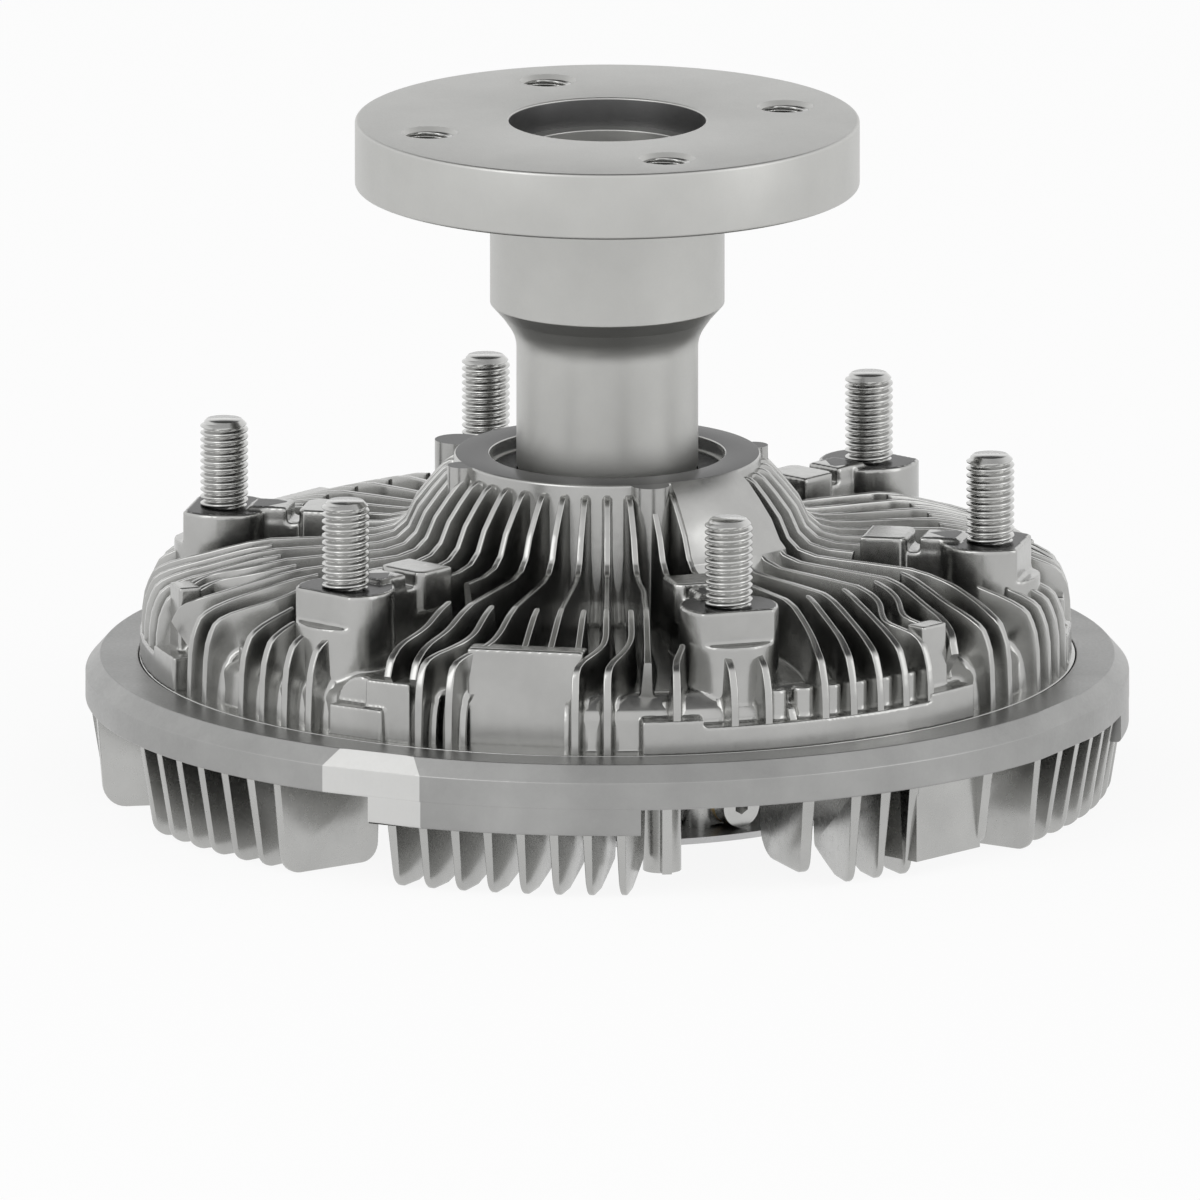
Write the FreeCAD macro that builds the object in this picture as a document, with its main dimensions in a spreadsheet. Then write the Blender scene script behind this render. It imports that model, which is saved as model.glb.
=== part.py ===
import FreeCAD, Part
import math
import os
import Sketcher
from FreeCAD import Rotation, Vector

# Viscous fan clutch. Millimetres, +Z up along the shaft, the drive flange on top.
# The origin is on the axis, in the plane on which the rear cooling fins stand.

os.makedirs("parts", exist_ok=True)
doc = FreeCAD.newDocument("FanClutch")
sheet = doc.addObject("Spreadsheet::Sheet", "Dimensions")
Z_AXIS = Vector(0, 0, 1)


class Size:
    """A number together with the spreadsheet expression that gives it."""

    def __init__(self, value, text):
        self.value = value
        self.text = text

    def __add__(self, other):
        other = as_size(other)
        return Size(self.value + other.value, "(%s + %s)" % (self.text, other.text))

    def __sub__(self, other):
        other = as_size(other)
        return Size(self.value - other.value, "(%s - %s)" % (self.text, other.text))

    def __mul__(self, other):
        other = as_size(other)
        return Size(self.value * other.value, "(%s * %s)" % (self.text, other.text))

    def __truediv__(self, other):
        other = as_size(other)
        return Size(self.value / other.value, "(%s / %s)" % (self.text, other.text))


def as_size(number):
    return number if isinstance(number, Size) else Size(float(number), "%.9f" % number)


def size(alias, number):
    """One driving dimension: a row of the sheet with its alias."""
    row = size.count = getattr(size, "count", 0) + 1
    sheet.set("A%d" % row, alias)
    sheet.set("B%d" % row, "%g" % number)
    sheet.setAlias("B%d" % row, alias)
    return Size(float(number), "Dimensions." + alias)


# Clearances
running_gap = size("running_gap", 0.06)
free_gap = size("free_gap", 0.3)
chamber_gap = size("chamber_gap", 0.5)

# Drive flange and shaft
flange_radius = size("flange_radius", 52.5)
flange_thickness = size("flange_thickness", 14)
flange_top = size("flange_top", 142.5)
flange_edge = size("flange_edge", 0.7)
pilot_radius = size("pilot_radius", 20.3)
pilot_depth = size("pilot_depth", 6)
blind_bore_radius = size("blind_bore_radius", 17)
blind_bore_depth = size("blind_bore_depth", 30)
flange_hole_circle = size("flange_hole_circle", 39)
flange_hole_radius = size("flange_hole_radius", 4.25)
flange_hole_mouth = size("flange_hole_mouth", 5.3)
collar_radius = size("collar_radius", 24.4)
collar_bottom = size("collar_bottom", 104.3)
shaft_radius = size("shaft_radius", 18.9)
shaft_blend_bottom = size("shaft_blend_bottom", 94.5)

# Bearing
bearing_bore = size("bearing_bore", 15)
bearing_outer = size("bearing_outer", 27.5)
bearing_width = size("bearing_width", 13)
ball_radius = size("ball_radius", 3.57)
ball_circle = size("ball_circle", 21.25)
land_height = size("land_height", 2.65)

# Front casting
hub_top = size("hub_top", 71.6)
hub_radius = size("hub_radius", 32)
hub_mouth = size("hub_mouth", 24.5)
hub_lip = size("hub_lip", 3)
roof_inner = size("roof_inner", 42.5)
roof_outer = size("roof_outer", 40)
wall_radius = size("wall_radius", 93)
rim_radius = size("rim_radius", 97.4)
rim_top = size("rim_top", 28.7)
flange_seat = size("flange_seat", 21.5)
body_flange_radius = size("body_flange_radius", 103.4)
body_flange_top = size("body_flange_top", 25.7)
chamber_top = size("chamber_top", 35)
chamber_radius = size("chamber_radius", 86)

# Front fins
fin_pitch = size("fin_pitch", 8)
fin_thickness = size("fin_thickness", 1.9)
fin_foot_radius = size("fin_foot_radius", 96.6)
fin_plateau = size("fin_plateau", 54.1)
short_fin_start = size("short_fin_start", 70)

# Fan mounting studs and their bosses
stud_circle = size("stud_circle", 81.4)
stud_radius = size("stud_radius", 5)
stud_root_radius = size("stud_root_radius", 4.6)
stud_mouth_radius = size("stud_mouth_radius", 5.3)
stud_stand = size("stud_stand", 18.3)
stud_depth = size("stud_depth", 14)
boss_top = size("boss_top", 56.6)
boss_radius = size("boss_radius", 10.4)
boss_flat = size("boss_flat", 88.6)
boss_flat_depth = size("boss_flat_depth", 7)
arm_start = size("arm_start", 55)
arm_width = size("arm_width", 9)

# Flat pads of the front casting's wall
pad_distance = size("pad_distance", 89.7)
pad_width = size("pad_width", 24.4)
pad_top = size("pad_top", 49.1)
PAD_ANGLE = -11

# Rear cover
ring_radius = size("ring_radius", 108.5)
ring_flat_radius = size("ring_flat_radius", 105.5)
ring_bottom = size("ring_bottom", 19.5)
ring_deep_bottom = size("ring_deep_bottom", 14)
ring_chamfer = size("ring_chamfer", 3.4)
ring_flat_distance = size("ring_flat_distance", 107.9)
web_top = size("web_top", 23.6)
web_bottom = size("web_bottom", 18.5)
reservoir_radius = size("reservoir_radius", 38)
reservoir_wall = size("reservoir_wall", 3.5)
rear_fin_inner = size("rear_fin_inner", 82)
rear_fin_outer = size("rear_fin_outer", 107.6)
rear_fin_draft = size("rear_fin_draft", 3.2)
rear_fin_corner = size("rear_fin_corner", 4)
rear_fin_root = size("rear_fin_root", 2.2)
rear_fin_tip = size("rear_fin_tip", 1.4)
rear_plate_root = size("rear_plate_root", 2.6)
rear_plate_tip = size("rear_plate_tip", 2.1)
rear_plate_bottom = size("rear_plate_bottom", 3.6)

# Clutch disc
disc_radius = size("disc_radius", 84.6)
disc_bottom = size("disc_bottom", 26.2)
disc_thickness = size("disc_thickness", 3.4)
disc_hub_radius = size("disc_hub_radius", 21)
disc_seat_radius = size("disc_seat_radius", 13)
disc_recess_radius = size("disc_recess_radius", 16)
disc_recess_depth = size("disc_recess_depth", 6.3)
land_pitch = size("land_pitch", 8)
land_thickness = size("land_thickness", 2.5)
land_first = size("land_first", 58)

# Pump plate, lid and valve
plate_thickness = size("plate_thickness", 1.6)
plate_radius = size("plate_radius", 86.6)
lid_radius = size("lid_radius", 56)
lid_thickness = size("lid_thickness", 1.3)
lid_dish_radius = size("lid_dish_radius", 34)
lid_dish_height = size("lid_dish_height", 10)
gasket_thickness = size("gasket_thickness", 0.5)
lid_screw_circle = size("lid_screw_circle", 44.4)
lid_post_radius = size("lid_post_radius", 3.6)
plug_height = size("plug_height", 6)
plug_head_radius = size("plug_head_radius", 4.4)
plug_face = size("plug_face", 52)
valve_shaft_radius = size("valve_shaft_radius", 4)
valve_arm_length = size("valve_arm_length", 26)
valve_arm_thickness = size("valve_arm_thickness", 1.2)
coil_width = size("coil_width", 7)
coil_thickness = size("coil_thickness", 0.9)
coil_pitch = size("coil_pitch", 4.4)

STUD_ANGLES = [-71.93 + 60 * i for i in range(6)]
FLANGE_HOLE_ANGLES = [18.5 + 90 * i for i in range(4)]
LID_SCREW_ANGLES = [-64.5 + 60 * i for i in range(6)]
PLATE_SCREW_ANGLES = [-30 + 60 * i for i in range(6)]


def bind(item, **sizes):
    """Set properties of an object and bind each one to its expression."""
    for prop, amount in sizes.items():
        amount = as_size(amount)
        setattr(item, prop, amount.value)
        item.setExpression(prop, amount.text)
    return item


def place(item, x=0, y=0, z=0, turn=0):
    """Put an object at a point that the sheet drives, turned about Z."""
    x, y, z = as_size(x), as_size(y), as_size(z)
    item.Placement = FreeCAD.Placement(Vector(x.value, y.value, z.value), Rotation(Z_AXIS, turn))
    for axis, amount in (("x", x), ("y", y), ("z", z)):
        item.setExpression("Placement.Base." + axis, amount.text)
    return item


def rod(name, radius, bottom, height, x=0, y=0):
    """An upright cylinder."""
    item = bind(doc.addObject("Part::Cylinder", name), Radius=radius, Height=height)
    return place(item, x, y, bottom)


def mouth(name, radius, wide, top, x, y):
    """The bevel at the top of a hole, a little taller than the face it opens in."""
    spare = 0.5
    item = bind(doc.addObject("Part::Cone", name), Radius1=radius, Radius2=wide + spare, Height=wide - radius + spare)
    return place(item, x, y, top - (wide - radius))


def rods(name, radius, bottom, height, circle, angles):
    """Upright cylinders round a circle."""
    made = []
    for index, angle in enumerate(angles):
        along = math.radians(angle)
        x, y = circle * math.cos(along), circle * math.sin(along)
        made.append(rod("%s%d" % (name, index + 1), radius, bottom, height, x, y))
    return made


def block(name, inner, outer, width, bottom, top, angle):
    """A box between two distances from the axis, centred on a direction."""
    item = doc.addObject("Part::Box", name)
    bind(item, Length=outer - inner, Width=width, Height=top - bottom)
    along = math.radians(angle)
    half = width / 2
    x = inner * math.cos(along) + half * math.sin(along)
    y = inner * math.sin(along) - half * math.cos(along)
    return place(item, x, y, bottom, angle)


def fuse(name, items):
    item = doc.addObject("Part::MultiFuse", name)
    item.Shapes = items
    return item


def cut(name, base, tool):
    item = doc.addObject("Part::Cut", name)
    item.Base = base
    item.Tool = tool
    return item


def feature(name, shape):
    """A piece whose shape is worked out from the sheet's sizes."""
    item = doc.addObject("Part::Feature", name)
    item.Shape = shape
    return item


def middle_of_arc(start, end, radius):
    """The middle point of an arc; a positive radius bulges to the right of the way along it."""
    chord = end - start
    rise = abs(radius) - math.sqrt(max(radius ** 2 - (chord.Length / 2) ** 2, 0))
    side = Vector(chord.y, -chord.x, 0).normalize()
    return (start + end) / 2 + side * math.copysign(rise, radius)


def hold_corner(sketch, edge, end, across, up):
    """Tie one end of a sketch edge to its two coordinates."""
    for kind, axis, amount in (("DistanceX", -2, across), ("DistanceY", -1, up)):
        if amount.value == 0:
            sketch.addConstraint(Sketcher.Constraint("PointOnObject", edge, end, axis))
        else:
            index = sketch.addConstraint(Sketcher.Constraint(kind, edge, end, amount.value))
            sketch.setExpression("Constraints[%d]" % index, amount.text)


def outline_sketch(body, name, plane, corners):
    """A closed outline. A corner's third value is the radius of the arc that leads to it."""
    sketch = body.newObject("Sketcher::SketchObject", name)
    origin_plane = [f for f in body.Origin.OriginFeatures if f.Role == plane][0]
    sketch.AttachmentSupport = [(origin_plane, "")]
    sketch.MapMode = "FlatFace"
    points = [(as_size(corner[0]), as_size(corner[1])) for corner in corners]
    ends = []
    for index, corner in enumerate(corners):
        start = Vector(points[index - 1][0].value, points[index - 1][1].value, 0)
        end = Vector(points[index][0].value, points[index][1].value, 0)
        if len(corner) == 2:
            edge = sketch.addGeometry(Part.LineSegment(start, end))
            ends.append((edge, 1, 2))
            continue
        middle = middle_of_arc(start, end, corner[2])
        edge = sketch.addGeometry(Part.Arc(start, middle, end))
        forward = (sketch.getPoint(edge, 1) - start).Length < (sketch.getPoint(edge, 2) - start).Length
        ends.append((edge, 1, 2) if forward else (edge, 2, 1))
        sketch.addConstraint(Sketcher.Constraint("Radius", edge, abs(corner[2])))
    for index, (edge, first, last) in enumerate(ends):
        following = ends[(index + 1) % len(ends)]
        sketch.addConstraint(Sketcher.Constraint("Coincident", edge, last, following[0], following[1]))
        hold_corner(sketch, edge, last, *points[index])
    return sketch


def turned(name, corners, angle=360):
    """A body turned about Z from an outline of (radius, height) corners."""
    body = doc.addObject("PartDesign::Body", name)
    sketch = outline_sketch(body, name + "Outline", "XZ_Plane", corners)
    turn = body.newObject("PartDesign::Revolution", name + "Turn")
    turn.Profile = sketch
    turn.ReferenceAxis = (sketch, ["V_Axis"])
    turn.Angle = angle
    return body


def ring_corners(inner, outer, bottom, top):
    return [(inner, bottom), (outer, bottom), (outer, top), (inner, top)]


def around(shape, angles):
    """Copies of a shape turned about the axis."""
    copies = []
    for angle in angles:
        copy = shape.copy()
        copy.rotate(Vector(0, 0, 0), Z_AXIS, angle)
        copies.append(copy)
    return copies


def at(radius, angle, height=0):
    along = math.radians(angle)
    return Vector(radius * math.cos(along), radius * math.sin(along), height)


def sector(name, inner, outer, bottom, top, middle, spread):
    """Part of a ring, centred on a direction."""
    body = turned(name, ring_corners(inner, outer, bottom, top), spread)
    body.Placement.Rotation = Rotation(Z_AXIS, middle - spread / 2)
    return body


def input_shaft():
    """Drive flange, collar, shaft and the seats of the bearing and the disc, all in one."""
    flange_bottom = flange_top - flange_thickness
    pilot_floor = flange_top - pilot_depth
    bore_floor = flange_top - blind_bore_depth
    bearing_top = hub_top - hub_lip
    bearing_bottom = bearing_top - bearing_width
    seat_end = disc_bottom + disc_recess_depth + chamber_gap
    body = turned("ShaftBody", [
        (0, seat_end), (disc_seat_radius - 1, seat_end), (disc_seat_radius, seat_end + 1),
        (disc_seat_radius, bearing_bottom), (bearing_bore, bearing_bottom), (bearing_bore, bearing_top),
        (shaft_radius - 0.6, bearing_top), (shaft_radius, bearing_top + 0.6),
        (shaft_radius, shaft_blend_bottom), (shaft_radius + 1.6, shaft_blend_bottom + 5.4, -10),
        (collar_radius - 1.2, collar_bottom - 1.9), (collar_radius, collar_bottom, 3),
        (collar_radius, flange_bottom), (flange_radius - flange_edge, flange_bottom),
        (flange_radius, flange_bottom + flange_edge), (flange_radius, flange_top - flange_edge),
        (flange_radius - flange_edge, flange_top), (pilot_radius, flange_top),
        (pilot_radius, pilot_floor), (blind_bore_radius, pilot_floor),
        (blind_bore_radius, bore_floor), (0, bore_floor)])
    holes = rods("FlangeHole", flange_hole_radius, flange_bottom - 1, flange_thickness + 2,
                 flange_hole_circle, FLANGE_HOLE_ANGLES)
    for index, angle in enumerate(FLANGE_HOLE_ANGLES):
        along = math.radians(angle)
        holes.append(mouth("FlangeHoleMouth%d" % (index + 1), flange_hole_radius, flange_hole_mouth, flange_top,
                           flange_hole_circle * math.cos(along), flange_hole_circle * math.sin(along)))
    holes.append(rod("DiscScrewBore", DISC_SCREW_RADIUS + running_gap, seat_end - 1, 18))
    return cut("InputShaft", body, fuse("ShaftHoles", holes))


DISC_SCREW_RADIUS = size("disc_screw_radius", 4)


def bearing_ring(name, bore, outer, groove_side):
    """A bearing ring with its ball groove; groove_side is +1 where the groove faces outward."""
    top = hub_top - hub_lip
    bottom = top - bearing_width
    middle = bottom + bearing_width / 2
    groove = ball_radius + running_gap
    face = outer if groove_side > 0 else bore
    depth = abs(face.value - ball_circle.value)
    reach = math.sqrt(groove.value ** 2 - depth ** 2)
    low, high = middle - reach, middle + reach
    if groove_side > 0:
        return turned(name, [(bore, bottom), (outer, bottom), (outer, low),
                             (outer, high, -groove.value), (outer, top), (bore, top)])
    return turned(name, [(bore, bottom), (outer, bottom), (outer, top), (bore, top),
                         (bore, high), (bore, low, -groove.value)])


def bearing_cage():
    """A ring between the bearing rings with one round pocket for each ball."""
    middle = hub_top - hub_lip - bearing_width / 2
    half = ball_radius + 0.9
    ring = turned("CageRing", ring_corners(ball_circle - 1.2, ball_circle + 1.2, middle - half, middle + half))
    pocket = doc.addObject("Part::Feature", "CagePockets")
    drill = Part.makeCylinder(ball_radius.value + 0.15, 8, Vector(0, 0, 0), Vector(1, 0, 0))
    drill.translate(Vector(ball_circle.value - 4, 0, middle.value))
    pocket.Shape = Part.makeCompound(around(drill, BALL_ANGLES))
    return cut("BearingCage", ring, pocket)


BALL_ANGLES = [360 / 11 * i for i in range(11)]


def bearing_balls():
    middle = hub_top.value - hub_lip.value - bearing_width.value / 2
    ball = Part.makeSphere(ball_radius.value, Vector(ball_circle.value, 0, middle))
    return feature("BearingBalls", Part.makeCompound(around(ball, BALL_ANGLES)))


def bearing_seals():
    """The two thin seals in the faces of the outer ring."""
    top = hub_top - hub_lip
    bottom = top - bearing_width
    inner = ball_circle - land_height + free_gap
    outer = ball_circle + land_height - running_gap
    front = turned("FrontSeal", ring_corners(inner, outer, top - 1.1, top - 0.3))
    rear = turned("RearSeal", ring_corners(inner, outer, bottom + 0.3, bottom + 1.1))
    return fuse("BearingSeals", [front, rear])


def bearing_circlip():
    """The open ring that holds the bearing in the hub."""
    top = hub_top - hub_lip - bearing_width
    ring = turned("CirclipRing", ring_corners(bearing_outer - 2.6, bearing_outer + 1.3, top - 1.5, top))
    gap = block("CirclipGap", bearing_outer - 6, bearing_outer + 4, as_size(9), top - 2, top + 1, 90)
    return cut("BearingCirclip", ring, gap)


def front_shell():
    """The turned form of the front casting: hub, sloping roof, wall and clamped flange."""
    bearing_bottom = hub_top - hub_lip - bearing_width
    groove_top = bearing_bottom
    groove_bottom = bearing_bottom - 1.6
    outer = [
        (hub_mouth, hub_top), (hub_radius, hub_top), (hub_radius, roof_inner + 3),
        (hub_radius + 3, roof_inner, -3), (wall_radius - 4, roof_outer),
        (wall_radius, roof_outer - 4, -4), (wall_radius + 0.4, rim_top),
        (rim_radius, rim_top), (rim_radius, body_flange_top),
        (body_flange_radius, body_flange_top), (body_flange_radius, flange_seat)]
    groove_inner = SEAL_RADIUS - running_gap
    groove_outer = SEAL_RADIUS + SEAL_SECTION + running_gap
    seal_groove = [
        (groove_outer, flange_seat), (groove_outer, flange_seat + SEAL_SECTION),
        (groove_inner, flange_seat + SEAL_SECTION), (groove_inner, flange_seat)]
    inner = [(plate_radius + 1.4, flange_seat), (plate_radius + 1.4, body_flange_top),
             (chamber_radius, body_flange_top), (chamber_radius, chamber_top)]
    for row in (3, 2, 1):
        middle = land_first + land_pitch * row
        inner += [(middle + land_thickness / 2, chamber_top),
                  (middle + land_thickness / 2, disc_bottom + disc_thickness + chamber_gap),
                  (middle - land_thickness / 2, disc_bottom + disc_thickness + chamber_gap),
                  (middle - land_thickness / 2, chamber_top)]
    inner += [(bearing_outer + 6, chamber_top), (bearing_outer, chamber_top + 6),
              (bearing_outer, groove_bottom), (bearing_outer + 1.5, groove_bottom),
              (bearing_outer + 1.5, groove_top), (bearing_outer, groove_top),
              (bearing_outer, hub_top - hub_lip), (hub_mouth, hub_top - hub_lip)]
    shell = turned("FrontShell", outer + seal_groove + inner)
    flats = [block("PadFlat%d" % (index + 1), pad_distance, pad_distance + 5, pad_width, rim_top, pad_top + 1,
                   FRONT + PAD_ANGLE + 120 * index) for index in range(3)]
    return cut("FrontWall", shell, fuse("PadFlats", flats))


SEAL_RADIUS = size("seal_radius", 93)
SEAL_SECTION = size("seal_section", 2)


def fin_envelope():
    """The turned form that the crests of the front fins follow, from hub to foot."""
    plateau = fin_plateau
    foot = fin_foot_radius
    return turned("FinEnvelope", [
        (hub_radius - 2, roof_outer - 4), (hub_radius + 1, hub_top - 1.6),
        (hub_radius + 5, hub_top - 5.6), (hub_radius + 8, hub_top - 9.6),
        (hub_radius + 10, plateau + 3.4), (hub_radius + 13, plateau + 1, 8),
        (hub_radius + 18, plateau + 0.1), (foot - 28, plateau - 0.2), (foot - 22, plateau - 1.1),
        (foot - 15, plateau - 3.2), (foot - 8.6, plateau - 5.2), (foot - 2.4, plateau - 8, -9),
        (foot - 0.2, plateau - 13), (foot, rim_top), (wall_radius - 3, rim_top),
        (wall_radius - 6, roof_outer - 4)])


# The courses of the front fins over one third of the casting. Angles are counted from the
# middle of that third, positive toward the next one. Each fin is (first radius, angle), and
# what it comes to: the foot one half pitch back, a boss arm, the square pad or a stop.
HUB_START = 31
FOOT_COURSES = [-56, -16, 0, 32, 40]
SHORT_FOOT_COURSES = [-20, 4, 36, 44, 60]
STOPPED_COURSES = [(-48, 53), (-40, 57), (-32, 56), (-24, 94), (-8, 87.5), (16, 57), (24, 57)]
SHORT_STOPPED_COURSES = [(-28, 94), (-12, 87.5), (-4, 87.5)]
BENT_COURSES = [
    [(HUB_START, 8), (57, 8), (92, 5.2)],
    [(HUB_START, 48), (71, 48), (78, 46.6), (85, 42.8), (89, 44.6), (96, 44)],
    [(HUB_START, 56), (73, 56), (84, 53), (94, 50), (96, 48.5)],
    [(70, 52.4), (78, 50.6), (85, 46.3), (89, 47.3)]]
POST_RIBS = [(83, -52), (87.6, -48), (89, -44), (89, -40), (90, 16.2), (90, 20.4), (87, 9.6)]
JOG_START = 77
JOG_END = 93


def fin_courses():
    """Every fin of one third as a list of (radius, angle) points."""
    foot = fin_foot_radius.value
    half_pitch = fin_pitch.value / 2
    courses = []
    for start, angles in ((HUB_START, FOOT_COURSES), (short_fin_start.value, SHORT_FOOT_COURSES)):
        for angle in angles:
            end = angle - half_pitch
            courses.append([(start, angle), (JOG_START, angle), (JOG_END, end), (foot + 1, end)])
    courses += [[(HUB_START, angle), (stop, angle)] for angle, stop in STOPPED_COURSES]
    courses += [[(short_fin_start.value, angle), (stop, angle)] for angle, stop in SHORT_STOPPED_COURSES]
    courses += [[(start, angle), (foot + 1, angle)] for start, angle in POST_RIBS]
    return courses + BENT_COURSES


def strip_face(points, thickness):
    """A flat strip of even thickness along a run of points, square at both ends."""
    left, right = [], []
    for index, point in enumerate(points):
        before = (point - points[index - 1]).normalize() if index else None
        after = (points[index + 1] - point).normalize() if index < len(points) - 1 else None
        if before is None or after is None:
            along = before or after
            miter = 1
        else:
            along = (before + after).normalize()
            miter = 1 / max(along.dot(after), 0.5)
        across = Vector(-along.y, along.x, 0) * (thickness / 2 * miter)
        left.append(point + across)
        right.append(point - across)
    corners = left + right[::-1]
    return Part.Face(Part.makePolygon(corners + corners[:1]))


FRONT = -90


def fin_field():
    """All the front fins as upright walls, before their crests are cut to the envelope."""
    base = rim_top.value - 0.5
    walls = []
    for course in fin_courses():
        points = [at(radius, FRONT + angle, base) for radius, angle in course]
        face = strip_face(points, fin_thickness.value)
        walls.append(face.extrude(Vector(0, 0, hub_top.value - base)))
    return feature("FinField", Part.makeCompound(around(Part.makeCompound(walls), [0, 120, 240])))


def stud_boss(index, angle):
    """A round post with one flat cut toward the rim, and the arm that ties it to the hub side."""
    along = math.radians(angle)
    x, y = stud_circle * math.cos(along), stud_circle * math.sin(along)
    ledge = boss_top - boss_flat_depth
    post = rod("BossPost%d" % index, boss_radius, roof_outer - 3, boss_top - roof_outer + 3, x, y)
    outside = block("BossOutside%d" % index, boss_flat, boss_flat + 6, boss_radius * 2.4, ledge, boss_top + 2, angle)
    arm = block("BossArm%d" % index, arm_start, stud_circle, arm_width, roof_outer - 1, boss_top - 2.4, angle)
    step = block("BossStep%d" % index, arm_start + 12.2, stud_circle - 10.4, arm_width, boss_top - 3,
                 boss_top + 0.9, angle)
    bridge = block("BossBridge%d" % index, stud_circle - 11, stud_circle, arm_width, boss_top - 3, boss_top, angle)
    head = block("BossHead%d" % index, arm_start, arm_start + 9, as_size(12), roof_outer + 9, boss_top + 0.9, angle)
    trimmed = cut("BossTrim%d" % index, post, outside)
    return fuse("Boss%d" % index, [trimmed, arm, step, bridge, head])


def third_details(index):
    """The flat pad, small block, upright block and raised rim of one third."""
    turn = FRONT + 120 * index
    pad = block("Pad%d" % index, chamber_radius + 0.8, pad_distance, pad_width, rim_top - 1, pad_top, turn + PAD_ANGLE)
    pad_back = block("PadBack%d" % index, as_size(84.5), pad_distance - 1, pad_width, roof_outer - 2, pad_top,
                     turn + PAD_ANGLE)
    small = block("SmallBlock%d" % index, as_size(87), as_size(96.5), as_size(15.5), rim_top - 1,
                  as_size(35.3), turn - 33.5)
    upright = block("Upright%d" % index, as_size(89), as_size(94), as_size(7.5), rim_top + 2,
                    as_size(49), turn + 46.5)
    wall = sector("RimWall%d" % index, wall_radius - 1, rim_radius - 0.2, rim_top - 1, as_size(34.4), turn + 28, 47.8)
    end_a = sector("RimEndA%d" % index, wall_radius - 1, rim_radius - 0.2, rim_top - 1, as_size(35.8), turn + 8, 7.8)
    end_b = sector("RimEndB%d" % index, wall_radius - 1, rim_radius - 0.2, rim_top - 1, as_size(35.8), turn + 48, 7.8)
    return [pad, pad_back, small, upright, wall, end_a, end_b]


HUB_LOBES = [(158, 4.4, 33.9), (13, 2.2, 32), (202, 3, 32.6), (286, 3.4, 33)]


def hub_fairing():
    """The smooth cone between the hub's top edge and the fins, on one side only."""
    bottom = roof_outer + 1
    body = turned("HubFairing", [
        (hub_radius - 2, bottom), (hub_radius + 12.6, bottom), (hub_radius + 12.6, hub_top - 19.6),
        (hub_radius + 11.6, hub_top - 15.2), (hub_radius + 10.2, hub_top - 13.7),
        (hub_radius + 8.2, hub_top - 9.5), (hub_radius + 5.2, hub_top - 5.5),
        (hub_radius + 2.6, hub_top - 2.4), (hub_radius - 0.4, hub_top), (hub_radius - 2, hub_top)], 33.7)
    body.Placement.Rotation = Rotation(Z_AXIS, -65.5)
    return body


def body_casting():
    """The finned front casting with its hub, bosses and clamped flange."""
    fins = doc.addObject("Part::Common", "Fins")
    fins.Base = fin_field()
    fins.Tool = fin_envelope()
    pieces = [front_shell(), fins, hub_fairing()]
    for index, angle in enumerate(STUD_ANGLES):
        pieces.append(stud_boss(index + 1, angle))
    for index in range(3):
        pieces += third_details(index)
    for index, (angle, radius, distance) in enumerate(HUB_LOBES):
        along = math.radians(angle)
        pieces.append(rod("HubLobe%d" % (index + 1), radius, roof_inner, hub_top - roof_inner,
                          distance * math.cos(along), distance * math.sin(along)))
    solid = fuse("FrontSolid", pieces)
    holes = rods("StudHole", stud_root_radius, boss_top - stud_depth, stud_depth + 2, stud_circle, STUD_ANGLES)
    for index, angle in enumerate(STUD_ANGLES):
        along = math.radians(angle)
        holes.append(mouth("StudHoleMouth%d" % (index + 1), stud_root_radius, stud_mouth_radius, boss_top,
                           stud_circle * math.cos(along), stud_circle * math.sin(along)))
    return cut("BodyCasting", solid, fuse("FrontHoles", holes))


def fan_studs():
    """The six studs that hold the fan, each with its root in the boss and a bevelled end."""
    radius, root_radius = stud_radius.value, stud_root_radius.value
    seat = boss_top.value
    bevel = 1.4
    straight = stud_stand.value - bevel
    root = Part.makeCylinder(root_radius, stud_depth.value + 1, Vector(stud_circle.value, 0, seat - stud_depth.value))
    stud = Part.makeCylinder(radius, straight, Vector(stud_circle.value, 0, seat))
    tip = Part.makeCone(radius, radius - bevel, bevel, Vector(stud_circle.value, 0, seat + straight))
    return feature("FanStuds", Part.makeCompound(around(root.fuse([stud, tip]).removeSplitter(), STUD_ANGLES)))


def cover_shell():
    """The turned form of the rear cover: reservoir wall, web, seat and the rolled ring."""
    ring_edge = rim_top - ring_chamfer
    wall_outer = reservoir_radius + reservoir_wall
    wall_bottom = lid_thickness + gasket_thickness
    return turned("CoverShell", [
        (reservoir_radius, wall_bottom), (wall_outer, wall_bottom), (wall_outer, web_bottom),
        (ring_radius - 8, web_bottom), (ring_radius - 8, ring_bottom), (ring_radius, ring_bottom),
        (ring_radius, ring_edge), (ring_flat_radius, rim_top), (rim_radius, rim_top),
        (rim_radius, body_flange_top), (body_flange_radius, body_flange_top),
        (body_flange_radius, flange_seat), (plate_radius + 0.6, flange_seat),
        (plate_radius + 0.6, web_top), (reservoir_radius, web_top)])


# Runs of rear fins: first angle, pitch, count, and how far the first and the last lean from radial.
REAR_FIN_RUNS = [(-24.9, 3.76, 8, -3, -11), (28.8, 3.8, 3, -10, -10), (61.1, 4.15, 11, 0, 0), (106.5, 4, 11, 0, 0),
                 (156, 4, 10, 0, 0), (200, 4, 12, 0, 0), (-107, 4, 6, 0, 0), (-64.1, 4.1, 6, 0, 0)]
# Broader plates: angle, lean, and whether the lower edge stands higher than the fins'.
REAR_PLATES = [(22.9, 0, True), (47.4, 0, True), (56.3, 0, False), (-80.5, 0, False), (-39.7, -14, False)]


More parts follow.
